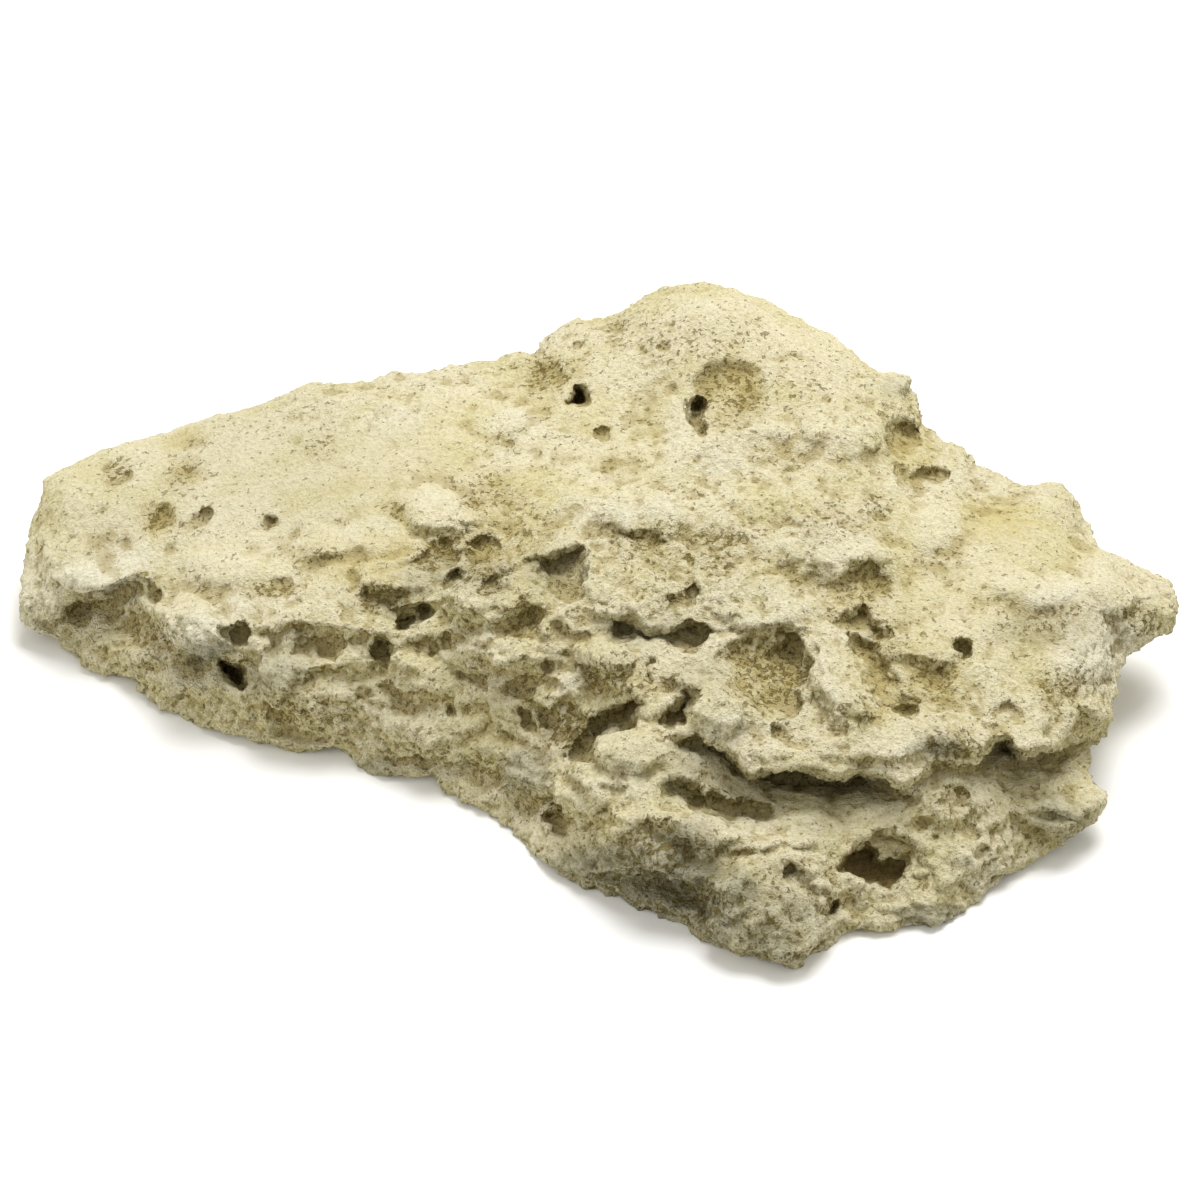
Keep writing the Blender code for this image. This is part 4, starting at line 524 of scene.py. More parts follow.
def from_line(across, up, points):
    """Distance to the nearest stretch of a line through the given points."""
    nearest = np.full(np.shape(across), 1e9)
    for (ax, ay), (bx, by) in zip(points[:-1], points[1:]):
        span = (bx - ax) ** 2 + (by - ay) ** 2
        part = np.clip(((across - ax) * (bx - ax) + (up - ay) * (by - ay)) / span, 0, 1)
        nearest = np.minimum(nearest, np.hypot(across - ax - part * (bx - ax), up - ay - part * (by - ay)))
    return nearest


PRIMES = (73856093, 19349663, 83492791, 1013904223)
MIXERS = (73244475, 19349669)
LOW_32_BITS = 0xFFFFFFFF
LOW_24_BITS = 0xFFFFFF


def hashed(cells, salt):
    """A repeatable random number from 0 to 1 for each whole-numbered cell, by mixing its bits.

    The cell's three numbers and the salt, each times a prime, are joined bit by bit. Each salt gives
    the noise that uses it numbers of its own.
    """
    n = cells[..., 0] * PRIMES[0] ^ cells[..., 1] * PRIMES[1] ^ cells[..., 2] * PRIMES[2] ^ salt * PRIMES[3]
    n = ((n & LOW_32_BITS) ^ ((n & LOW_32_BITS) >> 15)) * MIXERS[0] & LOW_32_BITS
    n = (n ^ (n >> 13)) * MIXERS[1] & LOW_32_BITS
    return ((n ^ (n >> 16)) & LOW_24_BITS) / LOW_24_BITS


DRIFT_GAIN = 1.6


def drift(points, size, salt):
    """Gradient noise from about -1 to 1: each cell corner's random slope, eased between the corners."""
    scaled = points / size
    cell = np.floor(scaled).astype(np.int64)
    part = scaled - cell
    ease = part ** 3 * (part * (part * 6 - 15) + 10)
    total = np.zeros(len(points))
    for corner in np.ndindex(2, 2, 2):
        at = cell + corner
        slope = np.stack([hashed(at, salt + axis) for axis in range(3)], axis=-1) * 2 - 1
        share = np.prod(np.where(corner, ease, 1 - ease), axis=-1)
        total += share * (slope * (part - corner)).sum(-1)
    return total * DRIFT_GAIN


def around(across, up, points, reach):
    """Which places lie within reach of the box round the points."""
    low = np.min(points, axis=0) - reach
    high = np.max(points, axis=0) + reach
    return np.flatnonzero((across > low[0]) & (across < high[0]) & (up > low[1]) & (up < high[1]))


def depth_inside(across, up, points):
    """Distance in from the edge of a closed shape, negative outside it."""
    within = np.zeros(across.shape, bool)
    for (ax, ay), (bx, by) in zip(points, points[1:] + points[:1]):
        spans = (ay > up) != (by > up)
        within ^= spans & (across < ax + (up - ay) * (bx - ax) / (by - ay + 1e-9))
    return from_line(across, up, points + points[:1]) * np.where(within, 1, -1)


def side_of_line(across, up, points):
    """Signed distance from a line of points, positive on its left, and the share of the way along it."""
    best = np.full(across.shape, 1e9)
    side = np.zeros(across.shape)
    along = np.zeros(across.shape)
    for step, ((ax, ay), (bx, by)) in enumerate(zip(points[:-1], points[1:])):
        long = math.hypot(bx - ax, by - ay)
        part = np.clip(((across - ax) * (bx - ax) + (up - ay) * (by - ay)) / long ** 2, 0, 1)
        away = np.hypot(across - ax - part * (bx - ax), up - ay - part * (by - ay))
        left = np.sign((bx - ax) * (up - ay) - (by - ay) * (across - ax))
        closer = away < best
        best = np.where(closer, away, best)
        side = np.where(closer, left * away, side)
        along = np.where(closer, (step + part) / (len(points) - 1), along)
    return side, along


def shifted(across, up, swells):
    """The places moved by noise, for each (size, reach, salt) of the swells."""
    seen = np.column_stack([across, up, np.zeros(len(across))])
    for size, reach, salt in swells:
        across = across + reach * drift(seen, size, salt)
        up = up + reach * drift(seen, size, salt + 1)
    return across, up


# How noise shifts the traced edges, and the lumps and crests: size, reach, salt.
RAGGED = [(7, 1.3, 405), (3, 1.0, 407), (1.6, 0.5, 409)]
WAVERING = [(15, 2.2, 401), (5.5, 1.1, 403)]

# How far outside its traced edge a pit begins, and how much steeper its wall is on the deep side.
PIT_BRIM = 0.5
PIT_STEEPER = 1.1


def pits(across, up):
    """Depth times t (2 - t), where t = distance in from the pit's edge / width of its wall, held to 1.

    The wall narrows and the floor falls from the shallow side to the deep side. A bored hole is its
    depth out to 0.6 of its radius and closes at 1.3 of it.
    """
    across, up = shifted(across, up, RAGGED)
    deepest = np.zeros(len(across))
    for depth, wall, shallow, toward, points in PITS:
        here = around(across, up, points, 1)
        way = np.array([math.cos(math.radians(toward)), math.sin(math.radians(toward))])
        marks = np.array(points) @ way
        over = np.clip((across[here] * way[0] + up[here] * way[1] - marks.min()) / np.ptp(marks), 0, 1)
        wide = wall * (2 - PIT_STEEPER * over)
        deep = np.clip((depth_inside(across[here], up[here], points) + PIT_BRIM) / wide, 0, 1)
        floor = shallow + (1 - shallow) * over
        deepest[here] = np.maximum(deepest[here], depth * deep * (2 - deep) * floor)
    for hole_across, hole_up, radius, depth in BORES:
        here = around(across, up, [(hole_across, hole_up)], 2 * radius)
        apart = np.hypot(across[here] - hole_across, up[here] - hole_up) / radius
        deepest[here] = np.maximum(deepest[here], depth * (1 - smooth_step((apart - 0.6) / 0.7)))
    return deepest


def relief(across, up):
    """Near gained by the lumps, crests and brows and lost in the grooves.

    A lump is its height eased out to 1.6 of its squared radius, a crest falls off as exp(-s / reach),
    and a brow adds 0.4 h exp(-s / above) over its line and takes 0.6 h exp(s / below) under it.
    """
    wide_across, wide_up = shifted(across, up, WAVERING)
    out = np.zeros(len(across))
    for place in LUMPS:
        apart, over = inside(wide_across, wide_up, place)
        out += place[5] * (1 - smooth_step(apart / 1.6)) * (1 - 0.25 * over)
    for reach, height, points in CRESTS:
        out += height * np.exp(-from_line(wide_across, wide_up, points) / reach)
    for width, depth, points in GROOVES:
        out -= depth * np.exp(-(from_line(wide_across, wide_up, points) / width) ** 4)
    near_across, near_up = shifted(across, up, RAGGED)
    for height, above, below, points in BROWS:
        here = around(near_across, near_up, points, 3 * max(above, below))
        side, along = side_of_line(near_across[here], near_up[here], points)
        ends = 1 - (2 * along - 1) ** 6
        over = 0.5 + 0.5 * np.tanh(side / 0.6)
        apart = np.abs(side)
        rise = 0.4 * np.exp(-apart / above) * over - 0.6 * np.exp(-apart / below) * (1 - over)
        out[here] += height * rise * ends
    return out


def rim_reach(angle):
    """Distance from the middle out to the outline, read between its points by angle."""
    rim = np.array(OUTLINE, float)[:, :2] - MIDDLE
    angles = np.arctan2(rim[:, 1], rim[:, 0])
    order = np.argsort(angles)
    return np.interp(angle, angles[order], np.hypot(rim[:, 0], rim[:, 1])[order], period=2 * math.pi)


def stone_shell():
    """Rings from the middle of the face out to the outline and back to the middle of the sole.

    Place = middle + share of the way out to the outline. The face's near comes from its two beds, its
    relief and its pits, the back's from the hidden bed, and both close in a round edge.
    """
    face_out = np.sin(np.linspace(0, math.pi / 2, FACE_RINGS + 1))[1:]
    back_out = np.sin(np.linspace(math.pi / 2, 0, BACK_RINGS + 1))[1:-1]
    turns = np.arange(ANGLES) * 2 * math.pi / ANGLES
    out, turn = np.meshgrid(np.append(face_out, back_out), turns, indexing="ij")
    on_face = np.zeros(out.shape, bool)
    on_face[:FACE_RINGS] = True
    out = np.concatenate([[0.0, 0.0], out.ravel()])
    turn = np.concatenate([[0.0, 0.0], turn.ravel()])
    on_face = np.concatenate([[True, False], on_face.ravel()])

    reach = rim_reach(np.mod(turn + math.pi, 2 * math.pi) - math.pi)
    across = MIDDLE[0] + out * reach * np.cos(turn)
    up = MIDDLE[1] + out * reach * np.sin(turn)
    edge = np.clip((1 - out) * reach / EDGE_ROUND, 0, 1)
    bulge = EDGE_BULGE * np.sqrt(1 - (1 - edge) ** 2)

    lip = np.array(LIP, float)
    over_lip = smooth_step((up - np.interp(across, lip[:, 0], lip[:, 1])) / LIP_SOFTNESS + 0.5)
    over_lip = np.maximum(over_lip, smooth_step((LIP_START - across) / LIP_FADE))
    face = bed(FACE + LEDGE)(across, up) * (1 - over_lip) + bed(FACE + SHELF)(across, up) * over_lip
    face += bulge
    plain = face
    face = face + (relief(across, up) - pits(across, up)) * smooth_step(edge * 1.6)
    lowest = near_for_height(across, up, LEAST_BODY)
    face = np.maximum(face, np.minimum(plain, lowest))
    back = np.minimum(hidden_bed()(across, up) - bulge, face - LEAST_WALL * edge)
    near = np.where(on_face, face, back)
    near = np.where(out > 0.99999, 0.5 * (face + back), near)
    points = from_sight(across, up, near)

    rings = np.arange(2, 2 + (FACE_RINGS + BACK_RINGS - 1) * ANGLES).reshape(-1, ANGLES)
    after = np.roll(rings, -1, axis=1)
    quads = np.stack([rings[:-1], rings[1:], after[1:], after[:-1]], axis=-1).reshape(-1, 4)
    first_cap = np.stack([np.zeros(ANGLES, int), rings[0], after[0]], axis=-1)
    last_cap = np.stack([np.ones(ANGLES, int), after[-1], rings[-1]], axis=-1)
    mesh = bpy.data.meshes.new("shelf_rock_skin")
    mesh.from_pydata(points, [], quads.tolist() + first_cap.tolist() + last_cap.tolist())
    return mesh


def placed(name, data):
    """A mesh, light or camera as a new object in the scene."""
    made = bpy.data.objects.new(name, data)
    bpy.context.scene.collection.objects.link(made)
    return made


def coordinates(mesh, kind="co"):
    """The mesh's points, or its normals, as rows of three."""
    flat = np.empty(len(mesh.vertices) * 3)
    mesh.vertices.foreach_get(kind, flat)
    return flat.reshape(-1, 3)


def set_coordinates(mesh, points):
    """Moves the mesh's points to the given rows."""
    mesh.vertices.foreach_set("co", points.ravel())
    mesh.update()


def modified(stone, kind, **settings):
    """Replaces the stone's mesh by what one modifier of the given kind makes of it."""
    modifier = stone.modifiers.new(kind, kind)
    for name, setting in settings.items():
        setattr(modifier, name, setting)
    graph = bpy.context.evaluated_depsgraph_get()
    done = bpy.data.meshes.new_from_object(stone.evaluated_get(graph))
    stone.modifiers.clear()
    stone.data = done


# The shell's folds are joined into one outer skin of even faces, of this size in millimetres.
SKIN_SPACING = 0.92
stone = placed("shelf_rock_skin", stone_shell())
modified(stone, "REMESH", mode="VOXEL", voxel_size=SKIN_SPACING)


# The stone's weathered skin. Acid water has eaten the limestone into bowls of every size with sharp
# ridges between them, and worms and shellfish have bored round holes; the top is worn smoother.
TO_SIGHT = np.array([0, -math.cos(SIGHT_TILT), math.sin(SIGHT_TILT)])

# Swells: size, height, and how far the whole skin is worn back. Crags and bowls: size, height or depth
# on the side that is seen, and on the hidden sides.
SWELL_SIZE = 42
SWELL_HEIGHT = 1.4
WORN_BACK = 1.0
CRAG_SIZES = [(24, 2.4, 2.6), (12, 1.7, 1.8), (6, 1.0, 0.9)]
BOWL_SIZES = [(17, 0.4, 1.3), (9, 0.4, 0.9)]

# Fine crags: size, height, salt. Fine bowls: size, depth. Bored pits: the size of the cells that may
# hold one, the share of them that do, radius, depth, salt.
FINE_CRAGS = [(4, 0.7, 720), (2.2, 0.5, 750)]
FINE_BOWL_SIZES = [(5, 0.3), (2.8, 0.4)]
BORED_PITS = [(11, 0.16, 1.4, 1.2, 301), (4, 0.3, 0.8, 1.0, 321)]

# Where the skin is smoother, or below 0 rougher: across, up, half width, half height, how much; and
# the limits of the roughness that they leave.
SMOOTH_AREAS = [
    (-122, 33, 85, 34, 0.8), (-20, 55, 60, 26, 0.5), (50, 85, 50, 22, 0.5), (75, 40, 45, 20, 0.3),
    (135, 12, 50, 26, 0.6), (-38, 18, 26, 16, -0.5), (25, 10, 34, 16, -0.5), (62, 28, 22, 10, -0.4),
]
LEAST_ROUGH = 0.2
MOST_ROUGH = 1.5

# How high the smooth sole reaches and over how much it fades, and the finished skin's most triangles.
SOLE_HEIGHT = 1.6
SOLE_FADE = 1.2
MOST_TRIANGLES = 196000


def bowls(points, size, salt):
    """0 on the ridges between random bowls, -depth in their middles, by the two nearest cell points."""
    shift = np.stack([drift(points, size * 1.3, salt + axis) for axis in (3, 7, 11)], axis=-1)
    scaled = (points + size * 0.45 * shift) / size
    cell = np.floor(scaled).astype(np.int64)
    first = np.full(len(points), 9.0)
    second = np.full(len(points), 9.0)
    depth = np.zeros(len(points))
    for step in np.ndindex(3, 3, 3):
        at = cell + np.array(step) - 1
        middle = at + np.stack([hashed(at, salt + 20 + axis) for axis in range(3)], axis=-1)
        away = np.sqrt(((middle - scaled) ** 2).sum(-1))
        closer = away < first
        second = np.where(closer, first, np.minimum(second, away))
        depth = np.where(closer, 0.25 + 0.75 * hashed(at, salt + 30), depth)
        first = np.where(closer, away, first)
    return -depth * smooth_step((second - first) * 1.7)


FLATTENED = (1, 1, 1.5)


def crags(points, size, salt):
    """Sharp-edged lumps from -1 to 1: the ridges of one noise laid over the swells of another.

    Both are shifted by a third noise and flattened, since the rock was laid down in level beds.
    """
    shift = np.stack([drift(points, size * 0.8, salt + axis) for axis in (2, 5, 8)], axis=-1)
    bent = (points + size * 0.35 * shift) * FLATTENED
    ridge = 1 - 2.4 * np.abs(drift(bent, size, salt + 12))
    return 0.5 * ridge + 0.7 * drift(bent, size * 0.7, salt + 15)


def bored(points, size, share, radius, salt):
    """1 in the middle of scattered round pits, 0 outside them; only a share of the cells has one."""
    scaled = points / size
    cell = np.floor(scaled).astype(np.int64)
    deep = np.zeros(len(points))
    for step in np.ndindex(3, 3, 3):
        at = cell + np.array(step) - 1
        middle = at + 0.15 + 0.7 * np.stack([hashed(at, salt + axis) for axis in range(3)], axis=-1)
        away = np.sqrt(((middle - scaled) ** 2).sum(-1)) * size
        wide = radius * (0.5 + hashed(at, salt + 5))
        there = hashed(at, salt + 9) < share
        deep = np.maximum(deep, there * (1 - smooth_step(away / wide)))
    return deep


def roughness(across, up, level):
    """1 on steep skin, 1 less the smooth areas on level skin, and half of that on the flattest.

    Level is the normal's z. The areas count from 0 on, and the halving from 0.5 on.
    """
    rough = np.ones(np.shape(across))
    for place in SMOOTH_AREAS:
        rough -= place[4] * (1 - smooth_step(inside(across, up, (*place[:4], 0))[0] / 1.5))
    worn = 1 - (1 - np.clip(rough, LEAST_ROUGH, MOST_ROUGH)) * smooth_step(level * 2.5)
    return worn * (1 - 0.5 * smooth_step((level - 0.5) / 0.35))


def weather(stone):
    """Moves the skin along its normals by the swells, the crags and the large bowls."""
    points = coordinates(stone.data)
    normals = coordinates(stone.data, "normal")
    across, up, _ = to_sight(points)
    rough = roughness(across, up, normals[:, 2])
    move = SWELL_HEIGHT * drift(points, SWELL_SIZE, 1) - WORN_BACK
    hidden = 1 - smooth_step(normals @ TO_SIGHT * 2)
    for salt, (size, seen_height, hidden_height) in enumerate(CRAG_SIZES):
        height = seen_height + (hidden_height - seen_height) * hidden
        move += height * rough * crags(points, size, 620 + 30 * salt)
    for salt, (size, seen_depth, hidden_depth) in enumerate(BOWL_SIZES):
        depth = seen_depth + (hidden_depth - seen_depth) * hidden
        move += depth * rough * bowls(points, size, 50 * (salt + 1))
    set_coordinates(stone.data, points + normals * move[:, None])


weather(stone)


def closed_outwards(mesh):
    """The mesh as an object, with all its faces turned outwards."""
    shape = bmesh.new()
    shape.from_mesh(mesh)
    bmesh.ops.recalc_face_normals(shape, faces=shape.faces)
    shape.to_mesh(mesh)
    shape.free()
    return placed(mesh.name, mesh)


SLOT_SIDES = 14
SLOT_END = 0.3
SLOT_END_RADIUS = SLOT_RADIUS * 0.4


def slot_cutter():
    """Circles of the slot's radius round its line, with a narrower one a little past each end."""
    line = from_sight(*np.array(SLOT, float).T)
    before = line[:1] - (line[1] - line[0]) * SLOT_END
    beyond = line[-1:] + (line[-1] - line[-2]) * SLOT_END
    line = np.vstack([before, line, beyond])
    way = np.gradient(line, axis=0)
    way /= np.linalg.norm(way, axis=1)[:, None]
    side = np.cross(way, (0, 0, 1))
    side /= np.linalg.norm(side, axis=1)[:, None]
    top = np.cross(side, way)
    turn = np.arange(SLOT_SIDES) * 2 * math.pi / SLOT_SIDES
    wide = np.full(len(line), SLOT_RADIUS)
    wide[[0, -1]] = SLOT_END_RADIUS
    ring = side[:, None] * np.cos(turn)[:, None] + top[:, None] * np.sin(turn)[:, None]
    points = (line[:, None] + ring * wide[:, None, None]).reshape(-1, 3)
    rings = np.arange(len(points)).reshape(-1, SLOT_SIDES)
    after = np.roll(rings, -1, axis=1)
    quads = np.stack([rings[:-1], after[:-1], after[1:], rings[1:]], axis=-1).reshape(-1, 4)
    mesh = bpy.data.meshes.new("slot_cutter")
    mesh.from_pydata(points, [], quads.tolist() + [rings[0].tolist(), rings[-1][::-1].tolist()])
    return closed_outwards(mesh)


TABLE_REACH = 300
TABLE_DEPTH = 60


def table_cutter():
    """A block whose top is the table."""
    sides = [-TABLE_REACH, TABLE_REACH]
    x, y, z = np.meshgrid(sides, sides, [-TABLE_DEPTH, 0], indexing="ij")
    corners = np.column_stack([x.ravel(), y.ravel(), z.ravel()])
    faces = [(0, 1, 3, 2), (4, 6, 7, 5), (0, 4, 5, 1), (2, 3, 7, 6), (0, 2, 6, 4), (1, 5, 7, 3)]
    mesh = bpy.data.meshes.new("table_cutter")
    mesh.from_pydata(corners, [], faces)
    return closed_outwards(mesh)


for cutter in (slot_cutter(), table_cutter()):
    modified(stone, "BOOLEAN", operation="DIFFERENCE", solver="MANIFOLD", object=cutter)
    bpy.data.objects.remove(cutter)


def weather_finely(stone):
    """Moves the skin along its normals by the fine crags, bowls and bored pits, but not on the sole."""
    points = coordinates(stone.data)
    normals = coordinates(stone.data, "normal")
    across, up, _ = to_sight(points)
    rough = roughness(across, up, normals[:, 2])
    move = rough * sum(height * crags(points, size, salt) for size, height, salt in FINE_CRAGS)
    for salt, (size, depth) in enumerate(FINE_BOWL_SIZES):
        patchy = np.clip(0.75 + 0.9 * drift(points, size * 5, 91 + 4 * salt), 0.15, 1.4)
        move += depth * rough * patchy * bowls(points, size, 200 + 50 * salt)
    move -= sum(depth * rough * bored(points, size, share, radius, salt)
                for size, share, radius, depth, salt in BORED_PITS)
    low = smooth_step((SOLE_HEIGHT - points[:, 2]) / SOLE_FADE)
    on_sole = low * smooth_step((-normals[:, 2] - 0.6) / 0.3)
    points = points + normals * (move * (1 - on_sole))[:, None]
    points[:, 2] = np.maximum(points[:, 2], 0)
    set_coordinates(stone.data, points)


weather_finely(stone)
stone.data.calc_loop_triangles()
kept_share = min(1, MOST_TRIANGLES / len(stone.data.loop_triangles))
modified(stone, "DECIMATE", ratio=kept_share, use_collapse_triangulate=True)

# The layout's box is drawn out to the solid's box, which takes it from millimetres to metres.
box_low, box_high = (np.array(corner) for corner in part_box("shelf_rock"))
points = coordinates(stone.data)
own_low = points.min(axis=0)
own_high = points.max(axis=0)
to_row = (box_high - box_low) / (own_high - own_low)


def in_row(point):
    """From the layout's millimetres to the frame's metres, box corner on box corner."""
    return box_low + (np.asarray(point) - own_low) * to_row


set_coordinates(stone.data, in_row(points))


# The stone's finish. It is dry, chalky calcium carbonate: cream on the worn top; buff on steep faces,
# partly the raw stone and partly painted shade; chalk on some lumps, with painted light on some shaded
# faces; paler on the rubbed ridges, with a painted highlight on their crests; ochre where iron has
# stained the hollows; and painted shade in olive in the dents and pores, in ochre and dark brown down
# the deep pits, in grey patches low down, and in dark specks between its grains.
CREAM = (0.66, 0.607, 0.43)
CHALK_AND_HIGHLIGHT = (0.68, 0.65, 0.51)
BUFF = (0.55, 0.495, 0.245)
OCHRE = (0.53, 0.45, 0.20)
OLIVE = (0.30, 0.225, 0.06)
SHADE_GREY = (0.24, 0.23, 0.16)
DEEP_PIT_SHADE = (0.23, 0.15, 0.05)
PORE_SHADE = (0.22, 0.17, 0.05)
GRAIN_SHADE = (0.46, 0.41, 0.27)

# Soft patches of each finish, and of denser pores: across, up, half width, half height, strength.
# Chalk on the white lumps, and painted light on faces that lie in shade.
CHALK_AND_LIGHT_PATCHES = [
    (-169, 9, 12, 6, 1.0), (-133, -9, 13, 6, 1.0), (-160, 13, 18, 6, 0.7), (-56, 34, 7, 5, 0.6),
    (-69, 60, 8, 5, 0.6), (-30, 60, 8, 5, 0.6), (24, 57, 5, 12, 0.6), (40, 47, 8, 5, 0.6),
    (14, 31, 10, 5, 0.7), (-10, 30, 10, 4, 0.4), (150, 2, 9, 3, 0.6), (0, 25, 8, 5, 0.4),
    (76, -25, 5, 12, 0.4), (52, 2, 16, 6, 0.5), (105, -46, 16, 5, 0.4), (8, -47, 9, 6, 0.4),
    (37, -36, 8, 6, 0.4), (75, 20, 14, 6, 0.4), (158, -20, 9, 6, 0.4), (-134, -10, 9, 7, 1.3),
    (-165, 9, 12, 5, 1.2), (-60, -40, 18, 7, 0.3), (50, -5, 14, 4, 0.6), (-118, 0, 16, 6, 0.5),
    (8, -57, 8, 7, 0.6), (42, -42, 8, 6, 0.6), (-8, -24, 7, 6, 0.6), (168, -14, 14, 14, 0.9),
    (-188, 0, 11, 16, 0.6), (74, -106, 7, 7, 0.5), (125, -90, 9, 8, 0.5), (97, 74, 7, 5, 0.4),
    (-5, 12, 2, 8, 0.4), (12, -18, 8, 4, 0.4), (-76, 25, 8, 6, 0.5), (170, -70, 4, 6, 0.4),
]
OCHRE_PATCHES = [
    (-40, 17, 6, 6, 1.3), (-30, 29, 13, 13, 0.7), (-17, 70, 16, 9, 0.6), (100, -33, 9, 6, 1.0),
    (93, -22, 7, 10, 1.0), (135, 28, 14, 8, 1.0), (-147, 27, 6, 6, 1.0), (-138, 54, 6, 3, 1.0),
    (-137, 43, 6, 4, 1.0), (43, 72, 10, 12, 1.0), (0, 58, 4, 3, 1.0), (104, 50, 7, 9, 1.0),
    (-90, 15, 10, 2, 1.0), (110, -27, 12, 6, 0.7), (84, 0, 8, 8, 1.0), (-65, 42, 30, 14, 0.3),
    (155, -80, 14, 7, 1.0), (-75, 15, 25, 8, 1.0),
]
# Painted shade: grey where the stone lies in shade, low down and under ledges.
SHADE_PATCHES = [
    (57, -104, 18, 16, 0.5), (22, -82, 16, 9, 1.0), (5, -88, 24, 9, 1.0), (28, -90, 14, 8, 1.2),
    (40, -106, 10, 9, 1.1), (15, -100, 26, 8, 1.2), (-45, 10, 14, 7, 0.4), (-16, 10, 11, 8, 0.4),
    (17, -9, 18, 5, 0.5), (-108, -24, 10, 8, 0.6), (-75, -58, 12, 6, 0.7), (34, -24, 10, 7, 0.35),
    (-42, 10, 16, 8, 0.3), (37, -101, 8, 9, 1.0), (18, -97, 18, 6, 1.0), (58, -114, 10, 10, 0.9),
    (147, -8, 16, 7, 0.4), (-25, -57, 8, 7, 0.7), (156, -73, 10, 8, 0.8), (75, -73, 8, 6, 0.4),
    (25, -58, 8, 7, 0.4), (-58, 10, 9, 6, 0.5), (98, 72, 6, 4, 0.35), (-105, 45, 45, 22, 0.2),
    (-155, 38, 20, 14, 0.12), (110, -105, 12, 4, 1.0), (113, -48, 9, 4, 1.0), (45, -97, 9, 9, 1.0),
    (-130, -16, 9, 4, 1.0),
]
# Where the pores, and the painted shade in them, are denser.
STIPPLE_PATCHES = [
    (57, -103, 18, 16, 0.6), (20, -98, 24, 8, 0.8), (30, 88, 26, 8, 0.55), (75, 27, 8, 7, 0.6),
    (60, 74, 22, 9, 0.35), (14, 20, 12, 7, 0.7), (38, 18, 9, 8, 0.6), (110, -26, 10, 6, 0.6),
    (88, 6, 10, 8, 0.7), (148, -7, 20, 7, 0.6), (154, -28, 8, 8, 0.9), (22, -82, 14, 9, 1.0),
    (-25, -6, 7, 6, 1.0), (85, -37, 6, 5, 0.6), (117, -46, 9, 5, 1.0), (-110, 5, 6, 4, 0.8),
    (44, 70, 12, 12, 0.7), (55, -25, 14, 12, 0.7), (90, 29, 6, 8, 0.5), (-53, 16, 9, 7, 1.0),
    (-74, 2, 9, 6, 0.9), (-38, 9, 8, 6, 0.7), (8, -25, 14, 7, 0.8), (25, -27, 6, 4, 0.9),
    (-35, 36, 12, 5, 0.6), (-67, 30, 6, 4, 0.7), (-14, -42, 6, 8, 0.8), (37, -102, 8, 8, 0.9),
    (95, -13, 8, 6, 0.6), (-55, -47, 12, 5, 0.3), (-135, 25, 6, 5, 0.6), (-147, 27, 5, 6, 0.9),
    (-95, 15, 9, 2, 0.8), (60, -44, 4, 5, 0.7), (118, -66, 6, 6, 0.6), (-160, 44, 5, 4, 0.9),
    (-138, 42, 7, 4, 0.7), (-159, 21, 4, 3, 0.6), (-110, 27, 4, 4, 0.7), (-94, 52, 7, 3, 0.5),
    (-32, 53, 5, 4, 0.8), (-150, -12, 10, 8, 0.5), (-100, -30, 10, 6, 0.5), (-22, 24, 8, 4, 0.5),
    (-17, 76, 10, 6, 0.9), (178, -5, 7, 5, 0.8),
]


PATCH_SWELL = 14
PATCH_SHIFT = 4


def patches(across, up, places, salt):
    """The strongest of the soft ellipses at each place, whose edges noise shifts."""
    seen = np.column_stack([across, up, np.zeros(len(across))])
    across = across + PATCH_SHIFT * drift(seen, PATCH_SWELL, salt)
    up = up + PATCH_SHIFT * drift(seen, PATCH_SWELL, salt + 4)
    most = np.zeros(len(across))
    for place in places:
        apart = inside(across, up, (*place[:4], 0))[0]
        most = np.maximum(most, place[4] * (1 - smooth_step(apart / 2)))
    return most


def hollowness(mesh, rounds, full):
    """How far the skin lies under its average over rounds of neighbours.

    It is 0.5 level with the average, 1 from full metres under it, and 0 from full metres over it.
    """
    ends = np.empty(len(mesh.edges) * 2, np.int32)
    mesh.edges.foreach_get("vertices", ends)
    a, b = ends.reshape(-1, 2).T
    count = len(mesh.vertices)
    share = np.bincount(a, minlength=count) + np.bincount(b, minlength=count)
    start = coordinates(mesh)
    smooth = start.copy()
    for _ in range(rounds):
        for axis in range(3):
            total = np.bincount(a, smooth[b, axis], count) + np.bincount(b, smooth[a, axis], count)
            smooth[:, axis] = total / share
    under = ((smooth - start) * coordinates(mesh, "normal")).sum(-1)
    return np.clip(under / full, -1, 1) * 0.5 + 0.5


def add_attribute(name, values):
    """Gives the stone's mesh one number at each point, for the material to read."""
    made = stone.data.attributes.new(name, "FLOAT", "POINT")
    made.data.foreach_set("value", values.astype(np.float32))


MM = 0.001
DEEPEST_SHADE = 18
layout_points = own_low + (coordinates(stone.data) - box_low) / to_row
normals = coordinates(stone.data, "normal")
across, up, _ = to_sight(layout_points)
facing = smooth_step(normals @ TO_SIGHT * 3 + 0.5)
add_attribute("pit", hollowness(stone.data, 6, 0.5 * MM))
add_attribute("bowl", hollowness(stone.data, 60, 2.5 * MM))
add_attribute("chalk_and_light", patches(across, up, CHALK_AND_LIGHT_PATCHES, 501) * facing)
add_attribute("ochre", patches(across, up, OCHRE_PATCHES, 511) * facing)
# Painted shade patches, kept on the undersides too.
add_attribute("painted_shade", patches(across, up, SHADE_PATCHES, 521) * np.maximum(facing, 0.8))
add_attribute("stipple", patches(across, up, STIPPLE_PATCHES, 531) * facing)
add_attribute("rough", roughness(across, up, normals[:, 2]))
add_attribute("sheer", np.clip(1 - normals[:, 2], 0, 1))
# How deep the traced pits are, for painted shade down them.
add_attribute("sunk", np.clip(pits(across, up) / DEEPEST_SHADE, 0, 1) * (normals @ TO_SIGHT > -0.3))


